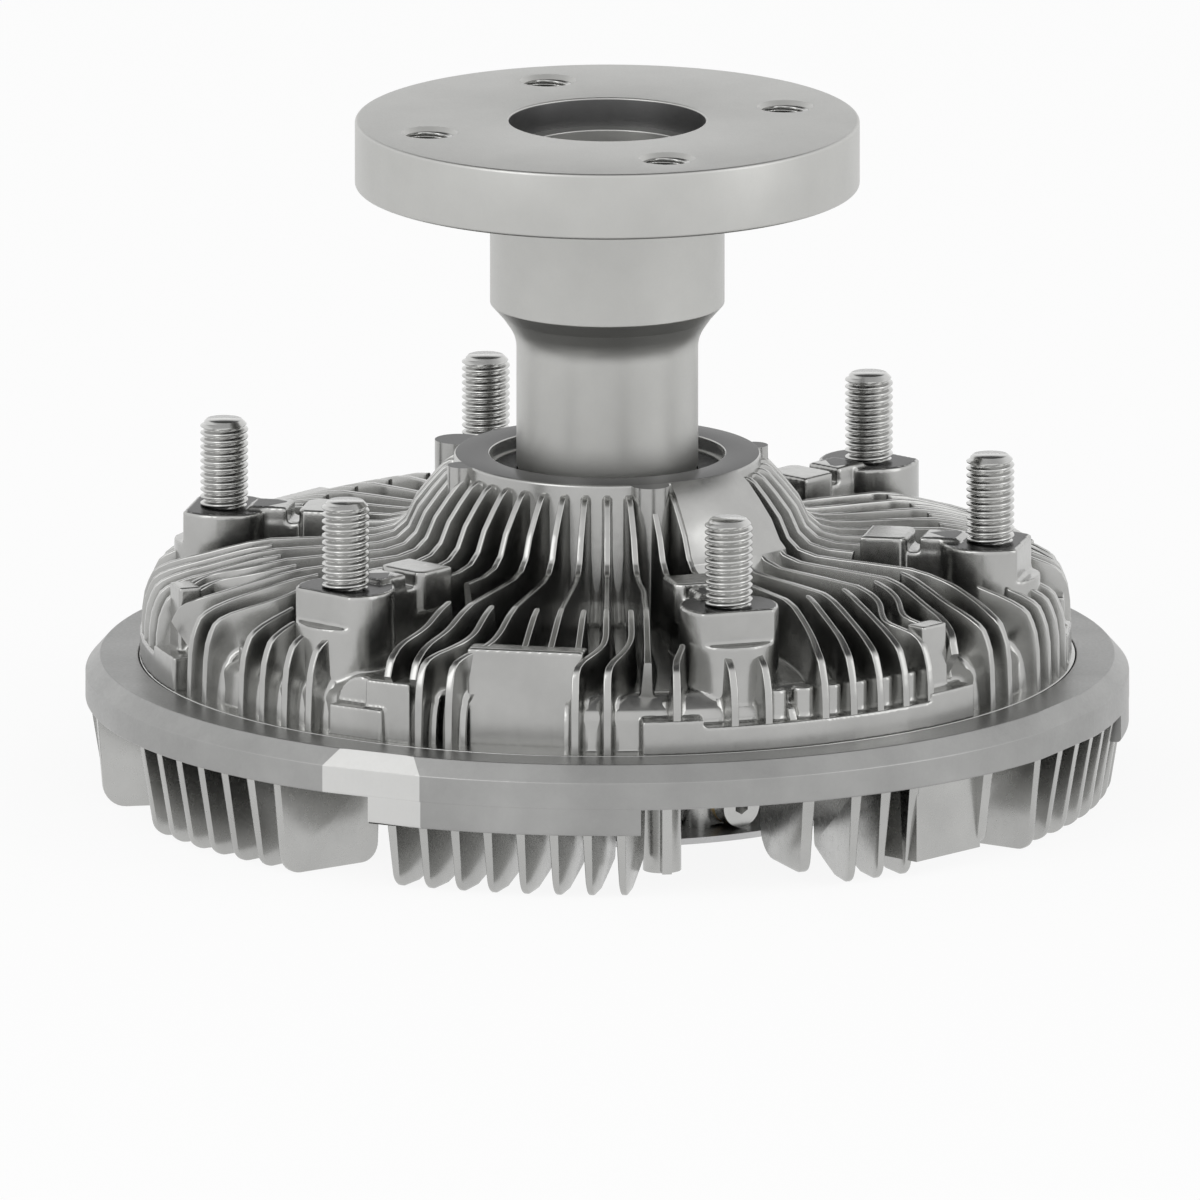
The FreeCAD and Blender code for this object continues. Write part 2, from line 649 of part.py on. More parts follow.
def soft_outline(corners):
    """A closed outline in the XZ plane from corners of (across, up, radius)."""
    points = [Vector(across, 0, up) for across, up, radius in corners]
    joints, edges = [], []
    for index, (across, up, radius) in enumerate(corners):
        point = points[index]
        back = (points[index - 1] - point).normalize()
        forth = (points[(index + 1) % len(points)] - point).normalize()
        if not radius:
            joints.append((point, point))
            continue
        half = back.getAngle(forth) / 2
        start = point + back * (radius / math.tan(half))
        end = point + forth * (radius / math.tan(half))
        middle = point + (back + forth).normalize() * (radius / math.sin(half) - radius)
        edges.append(Part.Arc(start, middle, end).toShape())
        joints.append((start, end))
    for index, (start, end) in enumerate(joints):
        edges.append(Part.makeLine(end, joints[(index + 1) % len(joints)][0]))
    return Part.Wire(Part.__sortEdges__(edges))


def drafted(outline, root, tip):
    """A plate of an upright outline, thinner at its lower edge than at the web."""
    top = web_bottom.value + 2
    plate = Part.Face(outline).extrude(Vector(0, root, 0))
    plate.translate(Vector(0, -root / 2, 0))
    section = [Vector(0, -root / 2, top), Vector(0, root / 2, top), Vector(0, tip / 2, 0), Vector(0, -tip / 2, 0)]
    wedge = Part.Face(Part.makePolygon(section + section[:1])).extrude(Vector(rear_fin_outer.value + 5, 0, 0))
    return plate.common(wedge)


def leaned(blade, lean):
    """Turn a blade about its outer end."""
    copy = blade.copy()
    copy.rotate(Vector(rear_fin_outer.value, 0, 0), Z_AXIS, lean)
    return copy


def rear_fin():
    """One rear fin: its lower edge rises inward, its outer edge drafts inward."""
    inner, outer = rear_fin_inner.value, rear_fin_outer.value
    foot = outer - rear_fin_draft.value
    top = web_bottom.value + 2
    outline = soft_outline([
        (inner, top, 0), (outer, top, 0), (outer, ring_bottom.value, 0), (foot, 0, rear_fin_corner.value),
        (95, 0, 0), (88, 1.8, 0), (inner, 3.6, 1)])
    return drafted(outline, rear_fin_root.value, rear_fin_tip.value)


def rear_plate(bottom):
    """One broad rear plate with rounded lower corners."""
    inner, outer = rear_fin_inner.value + 2, rear_fin_outer.value
    foot = outer - rear_fin_draft.value / 2
    top = web_bottom.value + 2
    outline = soft_outline([
        (inner, top, 0), (outer, top, 0), (outer, ring_bottom.value, 0), (foot, bottom, rear_fin_corner.value),
        (inner, bottom, 6)])
    return drafted(outline, rear_plate_root.value, rear_plate_tip.value)


def rear_fins():
    """Every fin and plate of the rear cover."""
    blades = []
    fin = rear_fin()
    for first, pitch, count, first_lean, last_lean in REAR_FIN_RUNS:
        for index in range(count):
            lean = first_lean + (last_lean - first_lean) * index / (count - 1)
            blades += around(leaned(fin, lean), [FRONT + first + pitch * index])
    for angle, lean, raised in REAR_PLATES:
        plate = rear_plate(rear_plate_bottom.value if raised else 0)
        blades += around(leaned(plate, lean), [FRONT + angle])
    return feature("RearFins", Part.makeCompound(blades))


REAR_PANEL_ANGLE = -42.4
REAR_POST_ANGLE = -81.8


def rear_panel():
    """The flat-faced block that fills the gap between two plates."""
    item = doc.addObject("Part::Box", "RearPanel")
    bind(item, Length=24, Width=19.5, Height=web_bottom + 1 - rear_plate_bottom)
    corner = Vector(64.3, -86.1, 0) - at(24, REAR_PANEL_ANGLE)
    return place(item, corner.x, corner.y, rear_plate_bottom, REAR_PANEL_ANGLE)


def rear_post():
    """The round post between the front fins, with the short fin in front of it."""
    radius = rear_fin_inner - 2.2
    along = math.radians(REAR_POST_ANGLE)
    post = rod("RearPost", as_size(4), as_size(0.5), web_bottom + 0.5, radius * math.cos(along), radius * math.sin(along))
    fin = block("RearPostFin", radius, radius + 7.4, as_size(2), as_size(1), web_bottom + 1, REAR_POST_ANGLE)
    return [post, fin]


def rear_cover():
    """The rear cover with its blades, skirts, lid posts and filler boss."""
    pieces = [cover_shell(), rear_fins(), rear_panel(), *rear_post()]
    for index, (middle, spread) in enumerate([(-101.9, 31.2), (78, 31), (12, 44)]):
        pieces.append(sector("Skirt%d" % (index + 1), ring_radius - 8, ring_radius, ring_deep_bottom,
                             ring_bottom + 2, middle, spread))
    pieces += rods("LidPost", lid_post_radius, lid_thickness, web_bottom - lid_thickness + 1,
                   lid_screw_circle, LID_SCREW_ANGLES)
    pieces.append(rod("PlugPost", lid_post_radius, lid_thickness, web_bottom - lid_thickness + 1,
                      (lid_screw_circle + 5.4) * math.cos(math.radians(PLUG_ANGLE + 13)),
                      (lid_screw_circle + 5.4) * math.sin(math.radians(PLUG_ANGLE + 13))))
    pieces.append(block("PlugBoss", reservoir_radius + 1, plug_face - 4.4, plug_head_radius * 2.3,
                        lid_thickness + gasket_thickness, web_bottom + 1, PLUG_ANGLE))
    solid = fuse("CoverSolid", pieces)
    cuts = []
    for index in range(4):
        angle = FRONT - 27.1 + 90 * index
        cuts.append(block("RingFlat%d" % (index + 1), ring_flat_distance, ring_flat_distance + 8,
                          as_size(60), as_size(-1), rim_top + 1, angle))
    cuts += rods("LidThread", LID_SCREW_RADIUS, as_size(-1), as_size(10), lid_screw_circle, LID_SCREW_ANGLES)
    cuts += rods("PlateThread", PLATE_SCREW_RADIUS, web_top - 5, as_size(8), PLATE_SCREW_CIRCLE, PLATE_SCREW_ANGLES)
    cuts.append(lying_rod("PlugThread", PLUG_SHANK_RADIUS, reservoir_radius - 1, plug_face, PLUG_ANGLE, plug_height))
    return cut("RearCover", solid, fuse("CoverCuts", cuts))


PLUG_ANGLE = -57.5
PLUG_SHANK_RADIUS = size("plug_shank_radius", 2.5)
LID_SCREW_RADIUS = size("lid_screw_radius", 2.5)
PLATE_SCREW_RADIUS = size("plate_screw_radius", 2)
PLATE_SCREW_CIRCLE = size("plate_screw_circle", 46)


def lying_rod(name, radius, inner, outer, angle, height):
    """A cylinder lying along a direction from the axis, between two distances."""
    item = bind(doc.addObject("Part::Cylinder", name), Radius=radius, Height=outer - inner)
    along = math.radians(angle)
    item.Placement.Rotation = Rotation(Z_AXIS, angle) * Rotation(Vector(0, 1, 0), 90)
    x, y, z = inner * math.cos(along), inner * math.sin(along), as_size(height)
    item.Placement.Base = Vector(x.value, y.value, z.value)
    for axis, amount in (("x", x), ("y", y), ("z", z)):
        item.setExpression("Placement.Base." + axis, amount.text)
    return item


def hexagon_socket(across, depth):
    """A hexagonal prism along +Z."""
    corner = across / 2 / math.cos(math.pi / 6)
    points = [at(corner, 60 * index) for index in range(7)]
    return Part.Face(Part.makePolygon(points)).extrude(Vector(0, 0, depth))


def filler_plug():
    """The socket screw that closes the reservoir's filling hole."""
    head = lying_rod("PlugHead", plug_head_radius, plug_face - 3.8, plug_face, PLUG_ANGLE, plug_height)
    shank = lying_rod("PlugShank", PLUG_SHANK_RADIUS, reservoir_radius + 0.3, plug_face - 3, PLUG_ANGLE, plug_height)
    socket = feature("PlugSocket", hexagon_socket(3, 3))
    start = at(plug_face.value - 2.6, PLUG_ANGLE, plug_height.value)
    socket.Placement = FreeCAD.Placement(start, Rotation(Z_AXIS, PLUG_ANGLE) * Rotation(Vector(0, 1, 0), 90))
    return cut("FillerPlug", fuse("PlugSolid", [head, shank]), socket)


def plug_washer():
    """The sealing washer under the filler plug's head."""
    disc = lying_rod("PlugWasherDisc", plug_head_radius, plug_face - 4.4, plug_face - 3.8, PLUG_ANGLE, plug_height)
    hole = lying_rod("PlugWasherHole", PLUG_SHANK_RADIUS, plug_face - 6, plug_face - 3, PLUG_ANGLE, plug_height)
    return cut("PlugWasher", disc, hole)


def cover_seal():
    inner = SEAL_RADIUS
    return turned("CoverSeal", ring_corners(inner, inner + SEAL_SECTION, flange_seat, flange_seat + SEAL_SECTION))


def clutch_disc():
    """The driven disc: hub, thin plate with oil holes and the raised ring lands."""
    top = disc_bottom + disc_thickness
    hub_end = hub_top - hub_lip - bearing_width
    corners = [(disc_seat_radius, disc_bottom + disc_recess_depth), (disc_recess_radius, disc_bottom + disc_recess_depth),
               (disc_recess_radius, disc_bottom), (disc_radius, disc_bottom)]
    corners.append((disc_radius, chamber_top - chamber_gap))
    for row in (3, 2, 1, 0):
        middle = land_first + land_pitch * row + land_pitch / 2
        edge = land_pitch / 2 - land_thickness / 2 - chamber_gap
        if row < 3:
            corners += [(middle + edge, top), (middle + edge, chamber_top - chamber_gap)]
        corners += [(middle - edge, chamber_top - chamber_gap), (middle - edge, top)]
    corners += [(disc_hub_radius + 3, top), (disc_hub_radius, top + 3, -3), (disc_hub_radius, hub_end - 4),
                (bearing_bore + land_height, hub_end), (disc_seat_radius, hub_end)]
    disc = turned("DiscBody", corners)
    holes = rods("DiscHole", as_size(3), disc_bottom - 1, disc_thickness + 2, as_size(40), [60 * i for i in range(6)])
    return cut("ClutchDisc", disc, fuse("DiscHoles", holes))


def disc_washer():
    top = disc_bottom + disc_recess_depth
    return turned("DiscWasher", ring_corners(DISC_SCREW_RADIUS + running_gap, disc_recess_radius - 1.5, top - 2.5, top))


def disc_screw():
    """The screw that clamps the disc against the shaft."""
    head_top = disc_bottom + disc_recess_depth - 2.5
    head = rod("DiscScrewHead", as_size(7), head_top - 3.4, as_size(3.4))
    shank = rod("DiscScrewShank", DISC_SCREW_RADIUS, head_top - 1, as_size(17))
    socket = feature("DiscScrewSocket", hexagon_socket(5, 3))
    socket.Placement.Base = Vector(0, 0, head_top.value - 3.4 - 1)
    return cut("DiscScrew", fuse("DiscScrewSolid", [head, shank]), socket)


def pump_plate():
    """The plate between the working chamber and the reservoir, with its two gate holes."""
    plate = turned("PlateDisc", ring_corners(as_size(5), plate_radius, web_top, web_top + plate_thickness))
    holes = rods("GateHole", as_size(3), web_top - 1, plate_thickness + 2, valve_arm_length, GATE_ANGLES)
    holes += rods("PlateScrewHole", PLATE_SCREW_RADIUS + running_gap, web_top - 1, plate_thickness + 2,
                  PLATE_SCREW_CIRCLE, PLATE_SCREW_ANGLES)
    holes += rods("ReturnHole", as_size(2), web_top - 1, plate_thickness + 2, plate_radius - 8, [20, 200])
    return cut("PumpPlate", plate, fuse("PlateHoles", holes))


GATE_ANGLES = [0, 180]


def plate_screws():
    """Low pan-head screws that hold the pump plate."""
    top = web_top.value + plate_thickness.value
    circle, radius = PLATE_SCREW_CIRCLE.value, PLATE_SCREW_RADIUS.value
    head = Part.makeCylinder(radius * 1.8, 0.6, Vector(circle, 0, top))
    shank = Part.makeCylinder(radius, plate_thickness.value + 3.6, Vector(circle, 0, top - plate_thickness.value - 3.5))
    return feature("PlateScrews", Part.makeCompound(around(head.fuse(shank), PLATE_SCREW_ANGLES)))


def reservoir_lid():
    """The pressed steel lid: a flat rim and a dished middle that takes the bimetal coil."""
    thick = lid_thickness
    floor = lid_dish_height
    lid = turned("LidPressing", [
        (BUSH_RADIUS, floor), (lid_dish_radius - 2, floor), (lid_dish_radius, floor - 2, -2),
        (lid_dish_radius, 0), (lid_radius, 0), (lid_radius, thick),
        (lid_dish_radius + thick, thick), (lid_dish_radius + thick, floor + thick - 3),
        (lid_dish_radius + thick - 3, floor + thick, 3), (BUSH_RADIUS, floor + thick)])
    holes = rods("LidScrewHole", LID_SCREW_RADIUS + running_gap, as_size(-1), thick + 2, lid_screw_circle, LID_SCREW_ANGLES)
    for index, angle in enumerate(LID_SCREW_ANGLES):
        sink = doc.addObject("Part::Cone", "LidScrewSink%d" % (index + 1))
        bind(sink, Radius1=LID_SCREW_RADIUS + thick, Radius2=LID_SCREW_RADIUS, Height=thick)
        along = math.radians(angle)
        holes.append(place(sink, lid_screw_circle * math.cos(along), lid_screw_circle * math.sin(along), 0))
    return cut("ReservoirLid", lid, fuse("LidHoles", holes))


BUSH_RADIUS = size("bush_radius", 6.5)


def lid_screws():
    """Countersunk screws, flush with the underside of the lid."""
    radius, thick = LID_SCREW_RADIUS.value, lid_thickness.value
    circle = lid_screw_circle.value
    head = Part.makeCone(radius + thick - 0.1, radius, thick - 0.1, Vector(circle, 0, 0.1))
    shank = Part.makeCylinder(radius, 7.5, Vector(circle, 0, 0.6))
    return feature("LidScrews", Part.makeCompound(around(head.fuse(shank), LID_SCREW_ANGLES)))


def lid_gasket():
    return turned("LidGasket", ring_corners(reservoir_radius, reservoir_radius + reservoir_wall - 1,
                                            lid_thickness, lid_thickness + gasket_thickness))


def valve_bush():
    """The flanged bush that carries the valve shaft in the lid."""
    floor = lid_dish_height
    bore = valve_shaft_radius + running_gap
    return turned("ValveBush", [
        (bore, floor - 1.2), (BUSH_RADIUS + 2, floor - 1.2), (BUSH_RADIUS + 2, floor), (BUSH_RADIUS, floor),
        (BUSH_RADIUS, floor + 8), (bore, floor + 8)])


def valve_shaft():
    """The shaft that the bimetal coil turns, slotted at its lower end."""
    top = web_top - free_gap
    shaft = turned("ValveSpindle", [
        (0, 1.6), (valve_shaft_radius, 1.6), (valve_shaft_radius, top - valve_arm_thickness),
        (valve_shaft_radius - 1, top - valve_arm_thickness), (valve_shaft_radius - 1, top), (0, top)])
    slot = block("ShaftSlot", as_size(-6), as_size(6), coil_thickness + free_gap * 2, as_size(0), lid_dish_height - 1.6, 0)
    return cut("ValveShaft", shaft, slot)


def valve_arm():
    """The arm whose two round ends cover the gate holes of the pump plate."""
    top = web_top - free_gap
    bottom = top - valve_arm_thickness
    bar = block("ArmBar", as_size(0) - valve_arm_length, valve_arm_length, as_size(7), bottom, top, 0)
    ends = rods("ArmEnd", as_size(5), bottom, valve_arm_thickness, valve_arm_length, GATE_ANGLES)
    hub = rod("ArmHub", valve_shaft_radius + 3, bottom, valve_arm_thickness)
    hole = rod("ArmHole", valve_shaft_radius - 0.98, bottom - 1, valve_arm_thickness + 2)
    return cut("ValveArm", fuse("ArmSolid", [bar, hub, *ends]), hole)


COIL_START = 6.2
COIL_HALF_TURNS = 9


def bimetal_coil():
    """A spiral strip of half-circle turns, its inner end in the shaft slot."""
    thick = coil_thickness.value
    step = coil_pitch.value / 4
    low = lid_dish_height.value - 1.6 - coil_width.value
    sides = []
    for side in (thick / 2, -thick / 2):
        arcs = []
        centre, radius, way = 0, COIL_START, 1
        for turn in range(COIL_HALF_TURNS):
            reach = radius + side
            start = Vector(centre + way * reach, 0, low)
            middle = Vector(centre, way * reach, low)
            end = Vector(centre - way * reach, 0, low)
            arcs.append(Part.Arc(start, middle, end))
            centre += way * step
            radius += step
            way = -way
        sides.append(arcs)
    outer, inner = sides
    edges = [arc.toShape() for arc in outer + inner]
    edges.append(Part.makeLine(inner[0].StartPoint, outer[0].StartPoint))
    edges.append(Part.makeLine(outer[-1].EndPoint, inner[-1].EndPoint))
    strip = Part.Face(Part.Wire(Part.__sortEdges__(edges))).extrude(Vector(0, 0, coil_width.value))
    tongue = Part.makeBox(COIL_START + 3, thick, coil_width.value, Vector(-3, -thick / 2, low))
    return feature("BimetalCoil", strip.fuse(tongue).removeSplitter())


def coil_anchor():
    """The riveted post that holds the outer end of the coil."""
    way = 1 if COIL_HALF_TURNS % 2 else -1
    reach = COIL_START + coil_pitch.value / 4 * COIL_HALF_TURNS
    side = as_size(way * -(reach + 2.4))
    return rod("CoilAnchor", as_size(1.5), as_size(1.6), lid_dish_height - 1.6, side, as_size(-2))


PARTS = [
    ("input_shaft", input_shaft),
    ("bearing_inner_ring", lambda: bearing_ring("InnerRing", bearing_bore, ball_circle - land_height, 1)),
    ("bearing_outer_ring", lambda: bearing_ring("OuterRing", ball_circle + land_height, bearing_outer, -1)),
    ("bearing_cage", bearing_cage),
    ("bearing_balls", bearing_balls),
    ("bearing_seals", bearing_seals),
    ("bearing_circlip", bearing_circlip),
    ("body_casting", body_casting),
    ("fan_studs", fan_studs),
    ("rear_cover", rear_cover),
    ("cover_seal", cover_seal),
    ("clutch_disc", clutch_disc),
    ("disc_washer", disc_washer),
    ("disc_screw", disc_screw),
    ("pump_plate", pump_plate),
    ("plate_screws", plate_screws),
    ("reservoir_lid", reservoir_lid),
    ("lid_screws", lid_screws),
    ("lid_gasket", lid_gasket),
    ("filler_plug", filler_plug),
    ("plug_washer", plug_washer),
    ("valve_bush", valve_bush),
    ("valve_shaft", valve_shaft),
    ("valve_arm", valve_arm),
    ("bimetal_coil", bimetal_coil),
    ("coil_anchor", coil_anchor),
]

made = []
for node, make in PARTS:
    piece = make()
    piece.Label = node
    made.append((node, piece))

doc.recompute()
for item in doc.Objects:
    if "Invalid" in item.State or "Error" in item.State:
        raise RuntimeError("%s failed: %s" % (item.Label, item.State))
for node, piece in made:
    if piece.Shape.isNull() or not piece.Shape.isValid() or not piece.Shape.Solids:
        raise RuntimeError("%s has no valid shape" % node)
    piece.Shape.exportStep("parts/%s.step" % node)
    print(node, len(piece.Shape.Solids), round(piece.Shape.Volume))
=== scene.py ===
import bpy
import bmesh
import math
from mathutils import Matrix, Vector


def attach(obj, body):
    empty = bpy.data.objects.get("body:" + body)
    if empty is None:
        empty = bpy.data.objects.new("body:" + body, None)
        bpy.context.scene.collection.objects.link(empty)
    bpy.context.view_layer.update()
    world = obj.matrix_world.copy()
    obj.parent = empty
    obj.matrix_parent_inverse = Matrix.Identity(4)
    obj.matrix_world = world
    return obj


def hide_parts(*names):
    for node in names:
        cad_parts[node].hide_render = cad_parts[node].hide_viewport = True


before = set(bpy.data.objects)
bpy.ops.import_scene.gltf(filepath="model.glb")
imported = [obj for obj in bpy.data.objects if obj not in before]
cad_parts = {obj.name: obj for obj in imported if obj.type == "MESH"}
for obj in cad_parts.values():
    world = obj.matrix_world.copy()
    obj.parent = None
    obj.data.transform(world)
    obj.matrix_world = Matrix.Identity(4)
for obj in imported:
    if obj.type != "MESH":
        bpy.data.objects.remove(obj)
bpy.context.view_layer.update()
MM = 0.001
# The side that faces the camera, in degrees about Z
FRONT = -90.0
# The casting repeats three times round the part
THIRD = 120


# Small tools

def at(radius, degrees, z=0.0):
    """The point at a radius and an angle about Z."""
    turn = math.radians(degrees)
    return Vector((radius * math.cos(turn), radius * math.sin(turn), z))


def local_frame(degrees):
    """The directions away from the Z axis and across it, at an angle."""
    out = at(1, degrees)
    return out, Vector((-out.y, out.x, 0))


def turn_from(degrees, middle):
    """The signed turn from one angle to another, at most half a turn."""
    return (degrees - middle + 180) % 360 - 180


def third_turn(degrees, offset):
    """The signed turn from the nearest of three places that lie at an offset from the front."""
    return (degrees - FRONT - offset + THIRD / 2) % THIRD - THIRD / 2


def new_corners(bm, points):
    """New corners of the mesh at the points."""
    return [bm.verts.new(point) for point in points]


def wall_between(bm, rings):
    """The faces between neighbouring rings of corners."""
    faces = []
    for one, two in zip(rings, rings[1:]):
        count = len(one)
        for index in range(count):
            following = (index + 1) % count
            faces.append(bm.faces.new((one[index], one[following], two[following], two[index])))
    return faces


def solid_along(bm, rings):
    """A closed solid through a row of rings."""
    faces = wall_between(bm, rings)
    faces += [bm.faces.new(rings[0][::-1]), bm.faces.new(rings[-1])]
    bmesh.ops.recalc_face_normals(bm, faces=faces)


def solid_between(bm, first, last):
    """A closed solid between two rings."""
    faces = [bm.faces.new(first[::-1]), bm.faces.new(last)]
    faces += wall_between(bm, [first, last])
    bmesh.ops.recalc_face_normals(bm, faces=faces)


def mesh_object(name, bm, smooth_angle=32):
    """A new object from a mesh drawn in millimetres."""
    mesh = bpy.data.meshes.new(name)
    bmesh.ops.transform(bm, matrix=Matrix.Scale(MM, 4), verts=bm.verts)
    bm.to_mesh(mesh)
    bm.free()
    mesh.shade_smooth()
    if smooth_angle:
        mesh.set_sharp_from_angle(angle=math.radians(smooth_angle))
    item = bpy.data.objects.new(name, mesh)
    bpy.context.collection.objects.link(item)
    return item


def rounded(corners, steps=5):
    """A profile whose corners with a third value are rounded to that radius."""
    out = []
    count = len(corners)
    for index, corner in enumerate(corners):
        here = Vector(corner[:2])
        if len(corner) < 3:
            out.append(here)
            continue
        before = Vector(corners[index - 1][:2])
        after = Vector(corners[(index + 1) % count][:2])
        one, two = (before - here), (after - here)
        angle = one.angle(two)
        reach = min(corner[2] / math.tan(angle / 2), one.length * 0.49, two.length * 0.49)
        radius = reach * math.tan(angle / 2)
        one.normalize()
        two.normalize()
        centre = here + (one + two).normalized() * (radius / math.sin(angle / 2))
        start, end = here + one * reach - centre, here + two * reach - centre
        for step in range(steps + 1):
            mix = step / steps
            out.append(centre + start.slerp(end, mix).normalized() * radius)
    return out


def lathe(name, corners, segments=256, reach=None, smooth_angle=32, start=0.0, spread=360.0):
    """A closed profile of (radius, height) corners turned about Z."""
    profile = rounded(corners)
    bm = bmesh.new()
    whole = abs(spread - 360.0) < 1e-6
    rows = []
    for column in range(segments if whole else segments + 1):
        degrees = start + spread * column / segments
        row = []
        for point in profile:
            radius, turn = point.x, degrees
            if reach:
                radius, turn = reach(radius, point.y, degrees)
            row.append(bm.verts.new(at(radius, turn, point.y)))
        rows.append(row)
    count = len(profile)
    for column in range(segments):
        left, right = rows[column], rows[(column + 1) % len(rows)]
        for index in range(count):
            following = (index + 1) % count
            bm.faces.new((left[index], right[index], right[following], left[following]))
    if not whole:
        bm.faces.new(rows[0])
        bm.faces.new(rows[-1][::-1])
    bmesh.ops.remove_doubles(bm, verts=bm.verts, dist=1e-5)
    bmesh.ops.recalc_face_normals(bm, faces=bm.faces)
    return mesh_object(name, bm, smooth_angle)


def prism(bm, outline, low, high, lean=0.0):
    """An upright prism; with lean, the upper outline is drawn in toward the outline's middle."""
    middle = sum((Vector(point[:2]) for point in outline), Vector((0, 0))) / len(outline)
    bottom, top = [], []
    for point in outline:
        flat = Vector(point[:2])
        drawn = flat - (flat - middle).normalized() * lean
        bottom.append(bm.verts.new((flat.x, flat.y, low)))
        top.append(bm.verts.new((drawn.x, drawn.y, high)))
    solid_between(bm, bottom, top)


def radial_block(bm, inner, outer, width, low, high, degrees, lean=0.0):
    """A block between two radii whose sides lie along the radius through its middle."""
    out, side = local_frame(degrees)
    outline = []
    for far, way in ((inner, -1), (outer, -1), (outer, 1), (inner, 1)):
        outline.append(out * far + side * (way * width / 2))
    prism(bm, outline, low, high, lean)


def disc_outline(radius, centre=(0, 0), count=48):
    """The corners of a round outline."""
    return [(centre[0] + radius * math.cos(2 * math.pi * step / count),
             centre[1] + radius * math.sin(2 * math.pi * step / count)) for step in range(count)]


def between(table, value):
    """Linear reading of a table of (value, result...) rows."""
    if value <= table[0][0]:
        return table[0][1:]
    for one, two in zip(table, table[1:]):
        if value <= two[0]:
            mix = (value - one[0]) / (two[0] - one[0])
            return tuple(a + (b - a) * mix for a, b in zip(one[1:], two[1:]))
    return table[-1][1:]


def apply_modifiers(item):
    """Keep the mesh that the modifiers make, and drop them."""
    graph = bpy.context.evaluated_depsgraph_get()
    mesh = bpy.data.meshes.new_from_object(item.evaluated_get(graph))
    item.modifiers.clear()
    item.data = mesh


def turned_copy(item, name, degrees):
    """A copy with its own mesh, turned about Z."""
    copy = item.copy()
    copy.data = item.data.copy()
    copy.name = name
    copy.data.transform(Matrix.Rotation(math.radians(degrees), 4, "Z"))
    bpy.context.collection.objects.link(copy)
    return copy


# Materials

def new_material(name):
    """A new material, with its node tree and its shader."""
    material = bpy.data.materials.new(name)
    material.use_nodes = True
    tree = material.node_tree
    return material, tree, tree.nodes["Principled BSDF"]


def new_node(tree, kind, **values):
    """A new node whose inputs hold the values given by name, with _ for a space."""
    node = tree.nodes.new(kind)
    for name, value in values.items():
        node.inputs[name.replace("_", " ")].default_value = value
    return node


def math_node(tree, operation, first, second):
    """A math node that joins two sockets, or a socket and a number."""
    node = tree.nodes.new("ShaderNodeMath")
    node.operation = operation
    tree.links.new(first, node.inputs[0])
    if isinstance(second, float):
        node.inputs[1].default_value = second
    else:
        tree.links.new(second, node.inputs[1])
    return node.outputs[0]


def metal(name, color, rough, grain_scale, grain, bump, mottle=0.12, mottle_scale=60, metallic=1.0):
    """Metal whose tone, roughness and surface vary a little, as castings and turned faces do."""
    material, tree, shader = new_material(name)
    links = tree.links
    shader.inputs["Metallic"].default_value = metallic
    place = new_node(tree, "ShaderNodeTexCoord")
    patches = new_node(tree, "ShaderNodeTexNoise", Scale=mottle_scale, Detail=6, Roughness=0.6)
    links.new(place.outputs["Object"], patches.inputs["Vector"])
    tone = new_node(tree, "ShaderNodeValToRGB")
    tone.color_ramp.elements[0].position = 0.3
    tone.color_ramp.elements[1].position = 0.72
    tone.color_ramp.elements[0].color = (*[c * (1 - mottle) for c in color], 1)
    tone.color_ramp.elements[1].color = (*[min(1, c * (1 + mottle)) for c in color], 1)
    links.new(patches.outputs["Fac"], tone.inputs["Fac"])
    links.new(tone.outputs["Color"], shader.inputs["Base Color"])
    fine = new_node(tree, "ShaderNodeTexNoise", Scale=grain_scale, Detail=4)
    links.new(place.outputs["Object"], fine.inputs["Vector"])
    spread = new_node(tree, "ShaderNodeMapRange", From_Min=0.3, From_Max=0.7, To_Min=rough - grain,
                      To_Max=rough + grain)
    links.new(fine.outputs["Fac"], spread.inputs["Value"])
    links.new(spread.outputs["Result"], shader.inputs["Roughness"])
    relief = new_node(tree, "ShaderNodeBump", Strength=1.0, Distance=bump * MM)
    links.new(fine.outputs["Fac"], relief.inputs["Height"])
    links.new(relief.outputs["Normal"], shader.inputs["Normal"])
    return material


CASTING = metal("front_casting", (0.42, 0.42, 0.41), 0.24, 600, 0.03, 0.004, 0.1, 45)
# Cut metal for the flat tops, far darker than the casting: painted shade on tops that face up
SHADED_CUT_CASTING = metal("front_cut_casting_shaded", (0.14, 0.14, 0.14), 0.22, 2500, 0.03, 0.002, 0.06, 90)
# Its grey specular tint dims the tops' reflection as well, as painted shade
CUT_SHADE_TINT = SHADED_CUT_CASTING.node_tree.nodes["Principled BSDF"].inputs["Specular Tint"]
CUT_SHADE_TINT.default_value = (0.6, 0.6, 0.6, 1)
RING = metal("rear_casting_ring", (0.34, 0.34, 0.335), 0.4, 1500, 0.05, 0.006, 0.14, 40)
RING_FLAT_BRIGHT = metal("rear_casting_flat", (0.60, 0.60, 0.59), 0.4, 1500, 0.05, 0.004, 0.05, 40)
REAR = metal("rear_casting", (0.44, 0.44, 0.43), 0.26, 600, 0.03, 0.005, 0.1, 45)
SHAFT = metal("shaft_steel", (0.50, 0.50, 0.485), 0.4, 2500, 0.04, 0.004, 0.04, 70)
STUD = metal("stud_steel", (0.52, 0.52, 0.51), 0.2, 2500, 0.03, 0.001, 0.06, 200)
